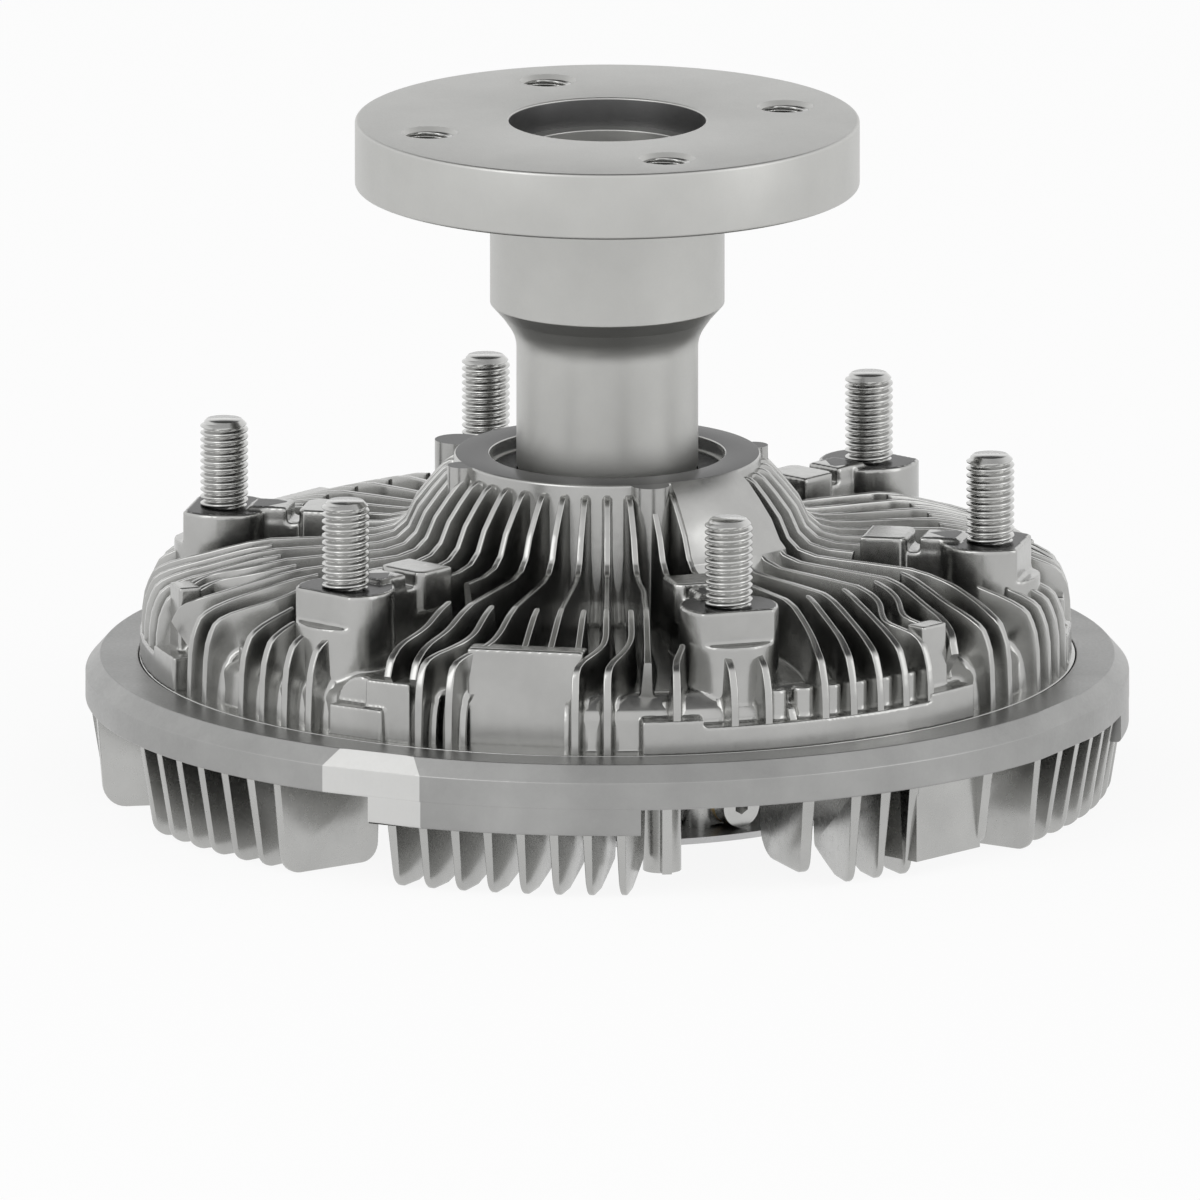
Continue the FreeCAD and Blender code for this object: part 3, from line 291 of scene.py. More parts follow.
# Dark steel for the circlip, and painted shade on the wall of the shaft's pilot bore
BLACK_STEEL_AND_SHADE = metal("black_steel_and_shade", (0.14, 0.14, 0.14), 0.42, 2000, 0.06, 0.01, 0.1, 90)
PLATE = metal("lid_steel", (0.50, 0.50, 0.50), 0.32, 1500, 0.06, 0.01, 0.08, 60)
BRASS = metal("warm_brass", (0.62, 0.45, 0.20), 0.32, 1500, 0.06, 0.01, 0.1, 60)
RUBBER = metal("seal_rubber", (0.03, 0.03, 0.03), 0.6, 1500, 0.08, 0.02, 0.2, 90, metallic=0.0)


def wear(item, *materials):
    """Give a piece its materials; all faces take the first."""
    item.data.materials.clear()
    for material in materials:
        item.data.materials.append(material)


# Front fins

# Crest point and root point of a fin at each station, from hub to foot: radius and height of both
FIN_RUN = [
    (31.6, 69.6, 30.5, 68.0), (33.0, 69.4, 30.5, 66.0), (34.3, 68.6, 30.5, 62.0), (37, 65.6, 30.5, 56),
    (40, 61.8, 31, 50), (42, 57.6, 31.5, 45),
    (44.5, 55.4, 34, 41.6), (48.5, 54.4, 41, 40.6), (54, 54.2, 51, 40.4), (60, 54.1, 59, 40.2),
    (70, 53.8, 70, 39.8), (74.5, 53, 74.5, 39.6), (78, 52, 78, 39.4), (81.5, 50.9, 81, 39.2),
    (85, 49.8, 84, 39.0), (88, 48.9, 86.4, 38.8), (91, 47.8, 88.4, 38.4), (93.2, 46.7, 89.6, 38.0),
    (94.5, 45.6, 90.4, 37.4), (95.4, 43.8, 91, 36.6), (96.2, 41.5, 91.6, 35.6), (96.7, 38, 92, 33.8),
    (96.9, 33, 92.2, 31), (97.0, 28.3, 92.2, 28.3)]
HUB_START = 31.0
SHORT_START = 70.0
# Half width of a fin at its root, and at its crest by the crest's radius
ROOT_HALF = 1.15
CREST_HALVES = [(84, 0.68), (94, 0.82)]
# Radius of the crest's two edges
CREST_EDGE = 0.3
# The flared root: height above the roof, least drop from the crest, and added half width
ROOT_FLARE = ((2.4, 0.6, 0.0), (1.7, 0.8, 0.22), (1.3, 1.0, 0.62), (1.05, 1.1, 1.3), (0.0, 1.3, 1.3))
# Half width share of the first rings of a fin, for its rounded nose
NOSE_SHARES = (0.5, 0.8, 0.95)
# How far the nose rings lie from the fin's start, and where the plain stations begin
NOSE_STEPS = (0.0, 0.12, 0.4, 0.9)
NOSE_LENGTH = 1.1
# About how far stations lie apart, and how far to both sides a bend is eased
STATION_STEP = 1.3
BEND_EASE = 2.2

# Each fin of one third as (crest radius, offset from the front in degrees) points
FIN_COURSES = [
    [(HUB_START, -56), (80, -56), (87, -58), (93, -60), (99, -60)],
    [(HUB_START, -48), (54, -48)],
    [(HUB_START, -40), (58, -40)],
    [(HUB_START, -32), (56, -32)],
    [(HUB_START, -24), (82, -23.8), (88, -25), (96.0, -25)],
    [(HUB_START, -16), (82, -15.9), (87, -16.7), (93, -20), (99, -20)],
    [(HUB_START, -8), (87.5, -7.8)],
    [(HUB_START, 0), (83, -0.2), (87, -1), (92.5, -4), (99, -4)],
    [(HUB_START, 8), (56, 8), (61, 7.2), (80, 5.9), (92.6, 5.2)],
    [(HUB_START, 16), (57, 16)],
    [(HUB_START, 24), (57, 24)],
    [(HUB_START, 32), (72, 31.9), (84, 30), (93, 28.2), (99, 28)],
    [(HUB_START, 40), (70, 40), (82, 38), (93, 36.2), (99, 36)],
    [(HUB_START, 48), (71, 48), (78, 46.6), (83.5, 43), (87, 42.6), (90, 44.6), (99, 44)],
    [(HUB_START, 56), (71, 56), (83, 52.8), (88, 52), (94, 49.9), (96, 48.6)],
    [(SHORT_START, -28), (82, -27.4), (89, -28.8), (96.0, -28.5)],
    [(SHORT_START, -20), (83, -19.5), (88, -21), (93, -24), (99, -24)],
    [(SHORT_START, -12), (87.5, -11.4)],
    [(SHORT_START, -4), (87.5, -4)],
    [(SHORT_START, 4), (83, 3.5), (88, 2.2), (93, 0), (99, 0)],
    [(SHORT_START, 36.6), (76, 35.2), (88, 33.4), (94, 32.2), (99, 32)],
    [(SHORT_START, 44.7), (75, 43.2), (86, 41.3), (93, 40.2), (99, 40)],
    [(SHORT_START, 52.8), (78, 50.6), (84.5, 46.4), (86.5, 46.6), (88.5, 47.8), (90, 47.8)],
    [(SHORT_START, 61), (77, 58.8), (84, 56.9), (92, 56), (99, 56)]]
# Upright ribs on the wall, between the fins' feet
POST_RIBS = [
    [(83.0, -52), (99, -52)], [(87.6, -48), (99, -48)], [(88, -44), (99, -44)],
    [(89, -40), (99, -40)], [(85, 10.8), (91, 9), (99, 8.5)], [(90, 16), (99, 16)],
    [(90, 20.4), (99, 20.4)]]
LOW_RIBS = [[(94, 24), (99, 24)]]


def course_angle(course, radius):
    """The fin's angle at a radius, eased over the bends of its course."""
    total = 0.0
    for step in (-1, -0.5, 0, 0.5, 1):
        spot = min(max(radius + step * BEND_EASE, course[0][0]), course[-1][0])
        total += between(course, spot)[0]
    return total / 5


def run_stations(first, last):
    """Stations along the crest between two crest radii, closely spaced, closest at a free start."""
    stations = []
    for one, two in zip(FIN_RUN, FIN_RUN[1:]):
        length = math.hypot(two[0] - one[0], two[1] - one[1])
        steps = max(1, round(length / STATION_STEP))
        for step in range(steps):
            mix = step / steps
            stations.append(tuple(a + (b - a) * mix for a, b in zip(one, two)))
    stations.append(FIN_RUN[-1])
    start = max(first, FIN_RUN[0][0])
    nose = []
    for ahead in NOSE_STEPS:
        nose.append((start + ahead, *between(FIN_RUN, start + ahead)))
    return nose + [station for station in stations if start + NOSE_LENGTH <= station[0] <= last]


def fin_section(depth, crest, root):
    """Half the outline across a fin as (drop from the crest, half width) rows, crest first."""
    rows = []
    for turn in (0, 30, 60, 90):
        bend = math.radians(turn)
        rows.append((CREST_EDGE * (1 - math.cos(bend)), crest - CREST_EDGE * (1 - math.sin(bend))))
    flare = [(max(depth - height, least), root + added) for height, least, added in ROOT_FLARE]
    halfway = ((flare[0][0] + CREST_EDGE) / 2, (crest + root) / 2)
    return rows + [halfway] + flare


def add_fin(bm, course, lower=0.0):
    """One fin as a closed wall that follows its course, with a flat crest and a flared root."""
    first, last = course[0][0], course[-1][0]
    rings = []
    for index, (rc, zc, rb, zb) in enumerate(run_stations(first, last)):
        degrees = FRONT + course_angle(course, rc)
        ahead = rc + 0.3
        along = at(ahead, FRONT + course_angle(course, ahead)) - at(rc, degrees)
        side = Vector((-along.y, along.x, 0)).normalized()
        crest, root = at(rc, degrees, zc - lower), at(rb, degrees, zb)
        down = root - crest
        depth = down.length
        down.normalize()
        thin = NOSE_SHARES[index] if index < len(NOSE_SHARES) else 1.0
        crest_half = between(CREST_HALVES, rc)[0]
        rows = fin_section(depth, crest_half * thin, ROOT_HALF * thin)
        left = [crest + down * drop + side * half for drop, half in rows]
        right = [crest + down * drop - side * half for drop, half in rows]
        rings.append(new_corners(bm, left + right[::-1]))
    solid_along(bm, rings)


# Radius and offset of the line where one third of the casting meets the next, between two fins
SEAM = [(0, -60), (78, -60), (93, -62), (110, -62)]
# The flat-faced pad: distance of its face from the axis, width, top, offset and half angle
PAD_DISTANCE = 89.65
PAD_WIDTH = 24.4
PAD_TOP = 49.1
PAD_OFFSET = -11.0
PAD_HALF = 7.82
# The pocket in the wall between the small block and the pad
POCKET_RADIUS = 88.9
POCKET_OFFSET = -23.2
POCKET_HALF = 4.3
# Heights between which both are drawn in
WALL_LOW = 28.8
WALL_HIGH = 45


def flat_pad(radius, z, degrees):
    """Draw the wall in to the flat face of the nearest pad and into the pocket beside it."""
    on_wall = WALL_LOW <= z <= WALL_HIGH
    if on_wall and abs(third_turn(degrees, POCKET_OFFSET)) <= POCKET_HALF:
        radius = min(radius, POCKET_RADIUS)
    turn = third_turn(degrees, PAD_OFFSET)
    if on_wall and abs(turn) <= PAD_HALF:
        radius = min(radius, PAD_DISTANCE / math.cos(math.radians(turn)))
    return radius, degrees


def add_skin(bm):
    """A sector of the roof and wall, so that bosses and blocks blend into it."""
    outer = rounded([
        (31.9, 71.3), (31.95, 42.6, 4.5), (88.5, 40.05, 3.5), (92.85, 36.4, 3.0), (93.2, 28.2)])
    inner = [(87.4, 28.2), (87.4, 35.5), (86.5, 37.6), (34, 39.6), (29.4, 44), (29.4, 71.3)]
    profile = [(p.x, p.y) for p in outer] + inner
    columns = 240
    rows = []
    for column in range(columns + 1):
        row = []
        for radius, z in profile:
            degrees = FRONT + between(SEAM, radius)[0] + THIRD * column / columns
            if radius > 90:
                radius, degrees = flat_pad(radius, max(z, 29), degrees)
            row.append(bm.verts.new(at(radius, degrees, z)))
        rows.append(row)
    solid_along(bm, rows)


# Radius of the circle of studs, height of the bosses and of their arms, offset of the first stud
STUD_CIRCLE = 81.4
BOSS_TOP = 56.6
ARM_TOP = BOSS_TOP + 0.9
FIRST_STUD = 18.07
STUD_OFFSETS = [FIRST_STUD + 60 * index for index in range(6)]


def add_boss(bm, degrees):
    """A round post with one flat cut toward the rim, and its arm toward the hub."""
    out, side = local_frame(degrees)

    def local(points):
        return [out * x + side * y for x, y in points]

    def strip(first, half):
        return local([(first, half), (first, -half), (arm_end, -half), (arm_end, half)])

    arm_end = STUD_CIRCLE - 6
    column = disc_outline(10.4, (STUD_CIRCLE, 0), 72)
    prism(bm, local(column), 37.5, 49.6)
    prism(bm, local([(min(x, 88.6), y) for x, y in column]), 49.0, BOSS_TOP)
    prism(bm, strip(55, 4.4), 38.5, 54.2)
    prism(bm, strip(67.2, 4.3), 54, ARM_TOP)
    head = [(55, 6), (55, -6), (63.4, -6), (64.6, -4.4), (64.6, 4.4), (63.4, 6)]
    prism(bm, local(head), 49.0, ARM_TOP)


def arch(bm, inner, outer, radius, z, degrees):
    """A round bar that lies along a radius of the casting."""
    out, side = local_frame(degrees)
    ends = []
    for far in (inner, outer):
        circle = disc_outline(radius, count=40)
        ends.append(new_corners(bm, [out * far + side * x + Vector((0, 0, z + y)) for x, y in circle]))
    faces = [bm.faces.new(ends[0]), bm.faces.new(ends[1][::-1])]
    faces += wall_between(bm, ends)
    bmesh.ops.recalc_face_normals(bm, faces=faces)


# The casting's flange, and the radii of the raised rims on it
FLANGE_TOP = 28.3
RIM_INNER = 91.5
RIM_OUTER = 97.2


def add_rim(bm, first, last, top):
    """A raised arc on the flange between two offsets."""
    steps = 12
    outline = []
    for radius, start, end in ((RIM_OUTER, first, last), (RIM_INNER, last, first)):
        for step in range(steps + 1):
            outline.append(at(radius, FRONT + start + (end - start) * step / steps))
    prism(bm, outline, FLANGE_TOP, top)


def add_details(bm):
    """The flat pad, small block and its arch and ledge, upright block, bumps and rims of one third."""
    radial_block(bm, 86.9, PAD_DISTANCE + 0.05, PAD_WIDTH, FLANGE_TOP, PAD_TOP, FRONT + PAD_OFFSET)
    radial_block(bm, 84.0, PAD_DISTANCE - 0.6, PAD_WIDTH, 37.6, PAD_TOP, FRONT + PAD_OFFSET)
    radial_block(bm, 90.0, 96.4, 13.4, FLANGE_TOP, 35.4, FRONT - 33.0, 0.3)
    arch(bm, 88.0, 92.8, 6.2, 35.0, FRONT - 33.4)
    radial_block(bm, 88.5, 95.2, 11.0, FLANGE_TOP, 41.4, FRONT - 28.8, 0.4)
    radial_block(bm, 89, 94, 7.6, 31, 49.3, FRONT + 46.6, 0.3)
    radial_block(bm, 89.2, 92.0, 2.4, 31, 41.6, FRONT - 56, 0.2)
    for offset in (22.2, 26.0, 30.0, 34.0, 38.0, 42.0):
        prism(bm, disc_outline(2.5, at(92.3, FRONT + offset), 20), 31, 40.6)
    for first, last, top in ((4.3, 51.9, 34.2), (4.3, 12, 35.8), (44, 51.9, 35.8)):
        add_rim(bm, first, last, top)


def fin_third():
    """The clean fins of one third."""
    bm = bmesh.new()
    for courses, lower in ((FIN_COURSES, 0.0), (POST_RIBS, 0.3), (LOW_RIBS, 9.5)):
        for course in courses:
            add_fin(bm, course, lower)
    return mesh_object("FrontFinsA", bm, 34)


def casting_third():
    """One third of the casting under its fins, melted into one skin with cast fillets."""
    bm = bmesh.new()
    add_skin(bm)
    add_boss(bm, FRONT + FIRST_STUD)
    add_boss(bm, FRONT + FIRST_STUD - 60)
    add_details(bm)
    item = mesh_object("CastingThirdA", bm, 0)
    merge = item.modifiers.new("Merge", "REMESH")
    merge.mode = "VOXEL"
    merge.voxel_size = 0.42 * MM
    merge.use_smooth_shade = True
    soften = item.modifiers.new("Soften", "SMOOTH")
    soften.factor = 0.5
    soften.iterations = 4
    lighten = item.modifiers.new("Lighten", "DECIMATE")
    lighten.ratio = 0.25
    apply_modifiers(item)
    return item


def shade_cut_tops(item, lowest, innermost=0):
    """Cast metal all over, with the darker cut metal, painted shade, on the flat tops above a height and
    outside a radius.
    """
    wear(item, CASTING, SHADED_CUT_CASTING)
    for polygon in item.data.polygons:
        spot = polygon.center / MM
        high = spot.z > lowest and math.hypot(spot.x, spot.y) >= innermost
        # Flat tops that face up take the darker cut metal: painted shade
        if high and polygon.normal.z > 0.985:
            polygon.material_index = 1


third = casting_third()
# The bosses' flat tops get the darker cut metal as painted shade
shade_cut_tops(third, BOSS_TOP - 0.35, 70)
fins = fin_third()
wear(fins, CASTING)
thirds = []
for item, name in ((third, "CastingThird"), (fins, "FrontFins")):
    thirds += [item, turned_copy(item, name + "B", THIRD), turned_copy(item, name + "C", 2 * THIRD)]

HUB_TOP = 71.6
shell = lathe("CastingShell", [
    (24.5, HUB_TOP, 0.3), (32, HUB_TOP, 0.6), (32, 42.6, 4.5), (88.5, 40.1, 3.5), (92.9, 36.4, 3.0),
    (93.3, 28.75, 0.5), (97.3, 28.75, 0.3), (97.3, 21.6), (87, 21.6), (86, 35), (33.5, 35),
    (27.5, 41), (27.5, 68.6), (24.5, 68.6)], 720, flat_pad)
# The hub's flat top gets the darker cut metal as painted shade
shade_cut_tops(shell, HUB_TOP - 0.4)
# Angle, radius and distance from the axis of the lobes round the hub's top
HUB_LOBES = ((158, 5, 33.3), (13, 3, 31.2), (202, 3.2, 32.4), (286, 4, 32.4))
lobes = bmesh.new()
for degrees, radius, distance in HUB_LOBES:
    prism(lobes, disc_outline(radius, at(distance, degrees), 28), 44, HUB_TOP - 0.03)
lobes = mesh_object("HubLobes", lobes)
# The lobes' flat tops get the darker cut metal as painted shade
shade_cut_tops(lobes, HUB_TOP - 0.4)
fairing = lathe("HubFairing", [
    (30, 41), (44.6, 41), (44.6, 52, 1), (43.6, 56.4, 1), (42.2, 57.9), (40.2, 62.1), (37.2, 66.1),
    (34.6, 69.2), (31.7, HUB_TOP - 0.05, 0.8), (30, HUB_TOP - 0.05)], 40, None, 40, -65.5, 33.7)
wear(fairing, CASTING)
for item in thirds + [shell, lobes, fairing]:
    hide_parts("body_casting")
    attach(item, "housing")


# Studs

THREAD_RADIUS = 5.0
THREAD_PITCH = 1.5
# How far a stud stands out of its boss, and the bevel at its end
STUD_LENGTH = 18.3
END_BEVEL = 1.3


def threaded(bm, centre, radius, low, high, pitch, depth, inward=False, columns=36):
    """A round bar with a helical thread and a bevelled end; inward makes the wall of a tapped hole."""
    rows = int((high - low) / (pitch / 12))
    rings = []
    for row in range(rows + 1):
        z = low + (high - low) * row / rows
        bevelled = radius if inward else radius - max(0.0, END_BEVEL - (high - z))
        ring = []
        for column in range(columns):
            turn = column / columns
            angle = 2 * math.pi * turn
            phase = (z / pitch - turn) % 1.0
            cut = depth * (0.5 + 0.5 * math.cos(2 * math.pi * phase)) ** 1.3
            spot = min(radius - cut, bevelled)
            x, y = centre[0] + spot * math.cos(angle), centre[1] + spot * math.sin(angle)
            ring.append(bm.verts.new((x, y, z)))
        rings.append(ring)
    if inward:
        wall_between(bm, rings)
    else:
        solid_along(bm, rings)


studs = bmesh.new()
for offset in STUD_OFFSETS:
    spot = at(STUD_CIRCLE, FRONT + offset)
    threaded(studs, spot, THREAD_RADIUS, BOSS_TOP - 3, BOSS_TOP + STUD_LENGTH, THREAD_PITCH, 0.86)
studs = mesh_object("FanStuds", studs, 50)
wear(studs, STUD)
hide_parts("fan_studs")
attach(studs, "housing")


# Drive shaft

FLANGE_FACE = 142.5
PILOT_FLOOR = 136.5
HOLE_CIRCLE = 39
HOLE_ANGLES = (18.5, 108.5, 198.5, 288.5)
# Height at which the holes' bevelled mouths begin
MOUTH_LOW = 141.6

shaft = lathe("DriveShaft", [
    (0.01, 55), (15, 55), (15, 68.6), (18.4, 68.65), (18.9, 69.2), (18.9, 96.6, 8.0),
    (21.9, 100.9, 1.2), (24.4, 103.7, 0.5), (24.4, 128.5, 0.8),
    (52.5, 128.5, 0.8), (52.5, FLANGE_FACE, 0.7), (20.5, FLANGE_FACE, 0.5), (20.3, PILOT_FLOOR),
    (17, PILOT_FLOOR, 0.3), (17, 116), (0.01, 116)], 256)
cutters = bmesh.new()
for degrees in HOLE_ANGLES:
    spot = at(HOLE_CIRCLE, degrees)
    hole = disc_outline(THREAD_RADIUS, spot, 40)
    mouth = disc_outline(THREAD_RADIUS * 1.3, spot, 40)
    prism(cutters, hole, 127, MOUTH_LOW)
    narrow = new_corners(cutters, [(x, y, MOUTH_LOW) for x, y in hole])
    wide = new_corners(cutters, [(x, y, FLANGE_FACE + 0.6) for x, y in mouth])
    solid_between(cutters, narrow, wide)
cutters = mesh_object("HoleCutters", cutters)
drill = shaft.modifiers.new("Drill", "BOOLEAN")
drill.operation = "DIFFERENCE"
drill.solver = "EXACT"
drill.use_self = True
drill.object = cutters
apply_modifiers(shaft)
shaft.data.set_sharp_from_angle(angle=math.radians(32))
bpy.data.objects.remove(cutters)
wear(shaft, SHAFT, BLACK_STEEL_AND_SHADE)
# The wall of the pilot bore takes the dark steel: painted shade in the recess
for polygon in shaft.data.polygons:
    spot = polygon.center / MM
    shaded_pilot_bore = math.hypot(spot.x, spot.y) < 20.6 and spot.z > PILOT_FLOOR + 0.2
    if shaded_pilot_bore and abs(polygon.normal.z) < 0.3:
        polygon.material_index = 1
tapped = bmesh.new()
for degrees in HOLE_ANGLES:
    spot = at(HOLE_CIRCLE, degrees)
    threaded(tapped, spot, THREAD_RADIUS + 0.02, 128.7, MOUTH_LOW, THREAD_PITCH, 0.8, inward=True)
for face in tapped.faces:
    face.normal_flip()
tapped = mesh_object("FlangeThreads", tapped, 50)
wear(tapped, STUD)
for item in (shaft, tapped):
    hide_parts("input_shaft")
    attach(item, "drive")


# Rear cover

# The ring, whose upper edge is bevelled above a height, and its four flats
RING_TOP = 28.7
BEVEL_LOW = 25.3
BEVEL_HEIGHT = 3.4
RING_RADIUS = 108.5
FIRST_FLAT = FRONT - 27.1
FLATS = [FIRST_FLAT + 90 * index for index in range(4)]
# Half angle of a flat, how much less it is at the ring's top, and where the columns are even again
FLAT_HALF = 6.0
FLAT_NARROWER = 1.35
FLAT_BLEND = 9
# What a flat cuts: outside a radius and above a height, and below the bevel the ring's side alone
FLAT_INNER = 104
FLAT_LOW = 12
RING_SIDE = 107.7
# How deep a flat is cut, how far its bevel's foot lies from the axis, and how much nearer its top
FLAT_DEPTH = 0.6
BEVEL_DISTANCE = 107.9
BEVEL_DRAW = 2.75


def bevel_rise(z):
    """The share of the ring's upper bevel that lies below a height."""
    return min(max((z - BEVEL_LOW) / BEVEL_HEIGHT, 0.0), 1.0)


def flat_reach(radius, z, degrees):
    """Draw the ring in to its four flats, whose upper bevel narrows upward."""
    rise = bevel_rise(z)
    if radius < FLAT_INNER or z < FLAT_LOW or (rise == 0 and radius < RING_SIDE):
        return radius, degrees
    half = FLAT_HALF - FLAT_NARROWER * rise
    distance = radius - FLAT_DEPTH if rise == 0 else BEVEL_DISTANCE - BEVEL_DRAW * rise
    for middle in FLATS:
        turn = turn_from(degrees, middle)
        if abs(turn) <= FLAT_HALF + 0.01:
            turn *= half / FLAT_HALF
            return min(radius, distance / math.cos(math.radians(turn))), middle + turn
        if abs(turn) < FLAT_BLEND:
            share = (abs(turn) - FLAT_HALF) / (FLAT_BLEND - FLAT_HALF)
            moved = half + share * (FLAT_BLEND - half)
            return radius, middle + math.copysign(moved, turn)
    return radius, degrees


ring = lathe("CoverRing", [
    (97.5, RING_TOP, 0.3), (105.5, RING_TOP, 0.4), (RING_RADIUS, BEVEL_LOW, 0.4),
    (RING_RADIUS, 19.5, 0.5), (100, 19.5), (96, 18.5), (38, 18.5), (38, 21.4), (97.5, 21.4)],
    720, flat_reach, 3.5, FIRST_FLAT)
wear(ring, RING, RING_FLAT_BRIGHT)


def brighten_flats(item):
    """Two opposite flats of the ring take a brighter metal."""
    for polygon in item.data.polygons:
        spot = polygon.center / MM
        degrees = math.degrees(math.atan2(spot.y, spot.x))
        turn = min(abs(turn_from(degrees, middle)) for middle in FLATS[::2])
        on_flat = turn < FLAT_HALF - 0.01 - FLAT_NARROWER * bevel_rise(spot.z)
        outside = math.hypot(spot.x, spot.y) > FLAT_INNER + 0.5
        if on_flat and outside and abs(polygon.normal.z) < 0.8:
            polygon.material_index = 1


brighten_flats(ring)
# Middle and spread of the three deep skirts
SKIRTS = ((-101.9, 31.2), (12, 44), (78, 31))
SKIRT_RADIUS = RING_RADIUS - 0.06
SKIRT_LOW = 14
skirts = []
for index, (middle, spread) in enumerate(SKIRTS):
    skirt = lathe("CoverSkirt%d" % (index + 1), [
        (103, 22.5), (107.4, 22.5), (107.4, 20.6), (SKIRT_RADIUS, 20.4), (SKIRT_RADIUS, SKIRT_LOW, 0.8),
        (103, SKIRT_LOW, 0.8)],
        round(spread * 4), flat_reach, 32, middle - spread / 2, spread)
    wear(skirt, RING, RING_FLAT_BRIGHT)
    brighten_flats(skirt)
    skirts.append(skirt)


REAR_OUTER = 107.6
REAR_FIN = rounded([
    (82, 20), (REAR_OUTER, 20), (REAR_OUTER, 19.5), (104.4, 0, 4), (95, 0), (88, 1.8), (82, 3.6, 1)], 8)
# Radius and height toward which a blade's rounded edges are drawn in
BLADE_MIDDLE = Vector((95.0, 13.0))
# Share of a blade's half thickness and how far its outline is drawn in there
BLADE_EDGE = ((-1.0, 0.55), (-0.8, 0.14), (-0.5, 0.0), (0.5, 0.0), (0.8, 0.14), (1.0, 0.55))


def plate_outline(bottom, inner_corner, outer_corner, inner=84.0):
    """The outline of a broad plate among the rear fins, with two rounded lower corners."""
    return rounded([(inner, 20), (REAR_OUTER, 20), (REAR_OUTER, 19.5), (106, bottom, outer_corner),
                    (inner, bottom, inner_corner)], 8)


def add_blade(bm, outline, degrees, lean=0.0, root=2.2, tip=1.4):
    """One rear blade, thicker at its root, with rounded edges, turned about its outer end by the lean."""
    outer = at(REAR_OUTER, degrees)
    out, side = local_frame(degrees + lean)
    rows = []
    for share, drawn in BLADE_EDGE:
        row = []
        for r, z in outline:
            half = (tip + (root - tip) * z / 20) / 2
            inward = (BLADE_MIDDLE - Vector((r, z))).normalized() * drawn
            if z > 19:
                inward = Vector((0, 0))
            spot = outer + out * (r + inward.x - REAR_OUTER) + side * (share * half)
            row.append(bm.verts.new(spot + Vector((0, 0, z + inward.y))))
        rows.append(row)
    faces = wall_between(bm, rows)
    faces += [bm.faces.new(rows[0]), bm.faces.new(rows[-1][::-1])]
    bmesh.ops.recalc_face_normals(bm, faces=faces)


# First offset, pitch, count, and the lean of the first and last fin
REAR_FIN_RUNS = [
    (-24.9, 3.76, 8, -3, -11), (28.8, 3.8, 3, -10, -10), (61.1, 4.15, 11, 0, 0),
    (106.5, 4, 11, 0, 0), (156, 4, 10, 0, 0), (200, 4, 12, 0, 0), (-107, 4, 6, 0, 0),
    (-64.1, 4.1, 6, 0, 0)]
# Offset, lean, outline, root and tip thickness
REAR_PLATES = [
    (22.9, 0, plate_outline(3.6, 6.5, 3), 2.6, 2.2), (47.4, 0, plate_outline(3.6, 4, 4), 2.8, 2.4),
    (56.3, 0, plate_outline(0, 4, 3.5), 2.4, 2.0), (-80.5, 0, plate_outline(0, 4, 5), 2.6, 2.2),
    (-39.7, -14, plate_outline(0, 4, 4.5, 82), 2.6, 2.1)]
blades = bmesh.new()
for first, pitch, count, first_lean, last_lean in REAR_FIN_RUNS:
    for index in range(count):
        lean = first_lean + (last_lean - first_lean) * index / (count - 1)
        add_blade(blades, REAR_FIN, FRONT + first + pitch * index, lean)
for offset, lean, outline, root, tip in REAR_PLATES:
    add_blade(blades, outline, FRONT + offset, lean, root, tip)
blades = mesh_object("RearBlades", blades, 40)
wear(blades, REAR)

# The posts of the lid's screws and the one beside the filler plug
LID_POSTS = [at(44.4, -64.5 + 60 * index) for index in range(6)] + [at(49.8, -44.5)]
posts = bmesh.new()
for spot in LID_POSTS:
    prism(posts, disc_outline(3.6, spot, 32), 1.3, 19)
PLUG_ANGLE = -57.5
radial_block(posts, 39, 47.6, 10, 1.8, 19, PLUG_ANGLE)
# The reservoir's round wall
prism(posts, disc_outline(41.5, (0, 0), 96), 1.8, 18.6)
# The round post between two runs of fins, with its rib
POST_ANGLE = -81.8
prism(posts, disc_outline(4.0, at(79.8, POST_ANGLE), 32), 0.5, 18.6)
radial_block(posts, 81, 87.2, 2.0, 1.0, 18.6, POST_ANGLE)
# The flat panel beside the skirts, square to its face, from its left outer corner
face = Vector((12.9, -11.8, 0)).normalized()
along = Vector((11.8, 12.9, 0)).normalized()
left = Vector((64.3, -86.1, 0))
right = left + along * 19.5
inward = -face * 24
prism(posts, [left, right, right + inward, left + inward], 3.6, 19.4)
posts = mesh_object("CoverPosts", posts, 32)
wear(posts, REAR)
for item in [ring, blades, posts] + skirts:
    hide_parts("rear_cover")
    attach(item, "housing")


# CAD pieces that keep their shape

KEPT = {
    "bearing_inner_ring": SHAFT, "bearing_outer_ring": SHAFT, "bearing_balls": STUD, "bearing_cage": BRASS,
    "bearing_seals": RUBBER, "bearing_circlip": BLACK_STEEL_AND_SHADE, "cover_seal": RUBBER, "clutch_disc": REAR,
    "disc_washer": SHAFT, "disc_screw": STUD, "pump_plate": PLATE, "plate_screws": STUD,
    "reservoir_lid": PLATE, "lid_screws": STUD, "lid_gasket": RUBBER, "filler_plug": STUD,
    "plug_washer": BRASS, "valve_bush": BRASS, "valve_shaft": SHAFT, "valve_arm": PLATE,
    "bimetal_coil": BRASS, "coil_anchor": SHAFT}
for node, material in KEPT.items():
    wear(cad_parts[node], material)


# Floor, light and camera

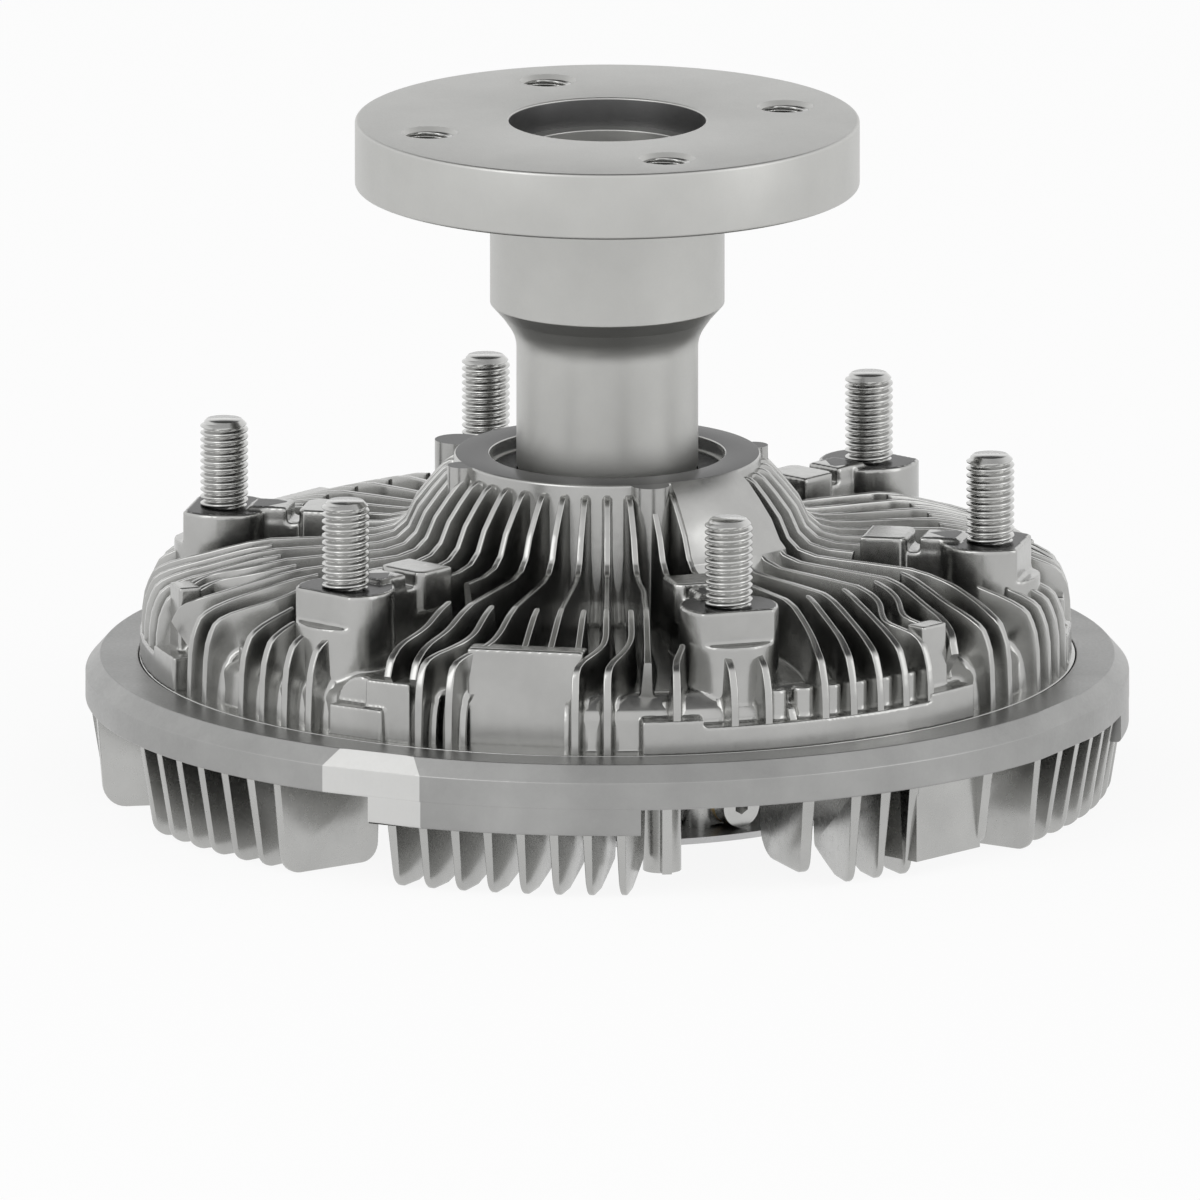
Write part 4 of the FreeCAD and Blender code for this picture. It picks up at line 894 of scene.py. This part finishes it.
def pale(name, strength, keep):
    """A pale surface that shows as white to the camera and keeps a little of the shadow."""
    material, tree, shader = new_material(name)
    links = tree.links
    shader.inputs["Base Color"].default_value = (0.85, 0.85, 0.85, 1)
    shader.inputs["Roughness"].default_value = 0.9
    shader.inputs["Specular IOR Level"].default_value = 0.0
    glow = new_node(tree, "ShaderNodeEmission", Strength=strength)
    rays = new_node(tree, "ShaderNodeLightPath").outputs
    seen = math_node(tree, "MAXIMUM", rays["Is Camera Ray"], rays["Is Glossy Ray"])
    seen = math_node(tree, "MAXIMUM", seen, rays["Is Transmission Ray"])
    mix = new_node(tree, "ShaderNodeMixShader")
    links.new(math_node(tree, "MULTIPLY", seen, keep), mix.inputs["Fac"])
    links.new(shader.outputs[0], mix.inputs[1])
    links.new(glow.outputs[0], mix.inputs[2])
    links.new(mix.outputs[0], tree.nodes["Material Output"].inputs["Surface"])
    return material


floor = bmesh.new()
prism(floor, disc_outline(3000, (0, 0), 96), -6.0, -0.05)
floor = mesh_object("Floor", floor)
wear(floor, pale("pale_floor", 1.0, 0.9))

world = bpy.data.worlds.new("Studio")
bpy.context.scene.world = world
world.use_nodes = True
tree = world.node_tree
background = tree.nodes["Background"]
background.inputs["Color"].default_value = (1, 1, 1, 1)
rays = new_node(tree, "ShaderNodeLightPath").outputs
seen = math_node(tree, "MAXIMUM", rays["Is Camera Ray"], rays["Is Transmission Ray"])
# The sky is even, but for a dim patch high up behind the part
DIM_PATCH = (0.0, 0.383, 0.924)
place = new_node(tree, "ShaderNodeTexCoord")
toward = new_node(tree, "ShaderNodeVectorMath")
toward.operation = "DOT_PRODUCT"
toward.inputs[1].default_value = DIM_PATCH
tree.links.new(place.outputs["Generated"], toward.inputs[0])
sky = new_node(tree, "ShaderNodeMapRange", From_Min=0.76, From_Max=0.87, To_Min=1.1, To_Max=0.1)
tree.links.new(toward.outputs["Value"], sky.inputs["Value"])
level = math_node(tree, "MAXIMUM", seen, sky.outputs["Result"])
tree.links.new(level, background.inputs["Strength"])


def softbox(name, spot, aim, wide, high, power):
    """A rectangular lamp, turned toward a point; lengths in metres."""
    light = bpy.data.lights.new(name, "AREA")
    light.shape = "RECTANGLE"
    light.size = wide
    light.size_y = high
    light.energy = power
    item = bpy.data.objects.new(name, light)
    bpy.context.collection.objects.link(item)
    item.location = spot
    item.rotation_euler = (Vector(aim) - Vector(spot)).to_track_quat("-Z", "Y").to_euler()


PART_MIDDLE = (0, 0, 0.05)
softbox("KeyLight", (-0.75, -0.75, 0.75), PART_MIDDLE, 0.6, 0.9, 2.5)
softbox("SideLight", (0.95, -0.35, 0.45), PART_MIDDLE, 0.4, 0.9, 1.2)

bpy.context.scene.view_settings.view_transform = "Standard"
# The parallel view: its width, how far it looks down, and where its middle lies
VIEW_WIDTH = 0.24948
VIEW_TILT = math.radians(12.69)
VIEW_MIDDLE = Vector((-0.001518, 0, 0.03909 / math.cos(VIEW_TILT)))
camera = bpy.data.objects.new("Camera", bpy.data.cameras.new("Camera"))
bpy.context.collection.objects.link(camera)
camera.data.type = "ORTHO"
camera.data.ortho_scale = VIEW_WIDTH
camera.location = VIEW_MIDDLE - Vector((0, math.cos(VIEW_TILT), -math.sin(VIEW_TILT))) * 1.2
camera.rotation_euler = (math.pi / 2 - VIEW_TILT, 0, 0)
bpy.context.scene.camera = camera
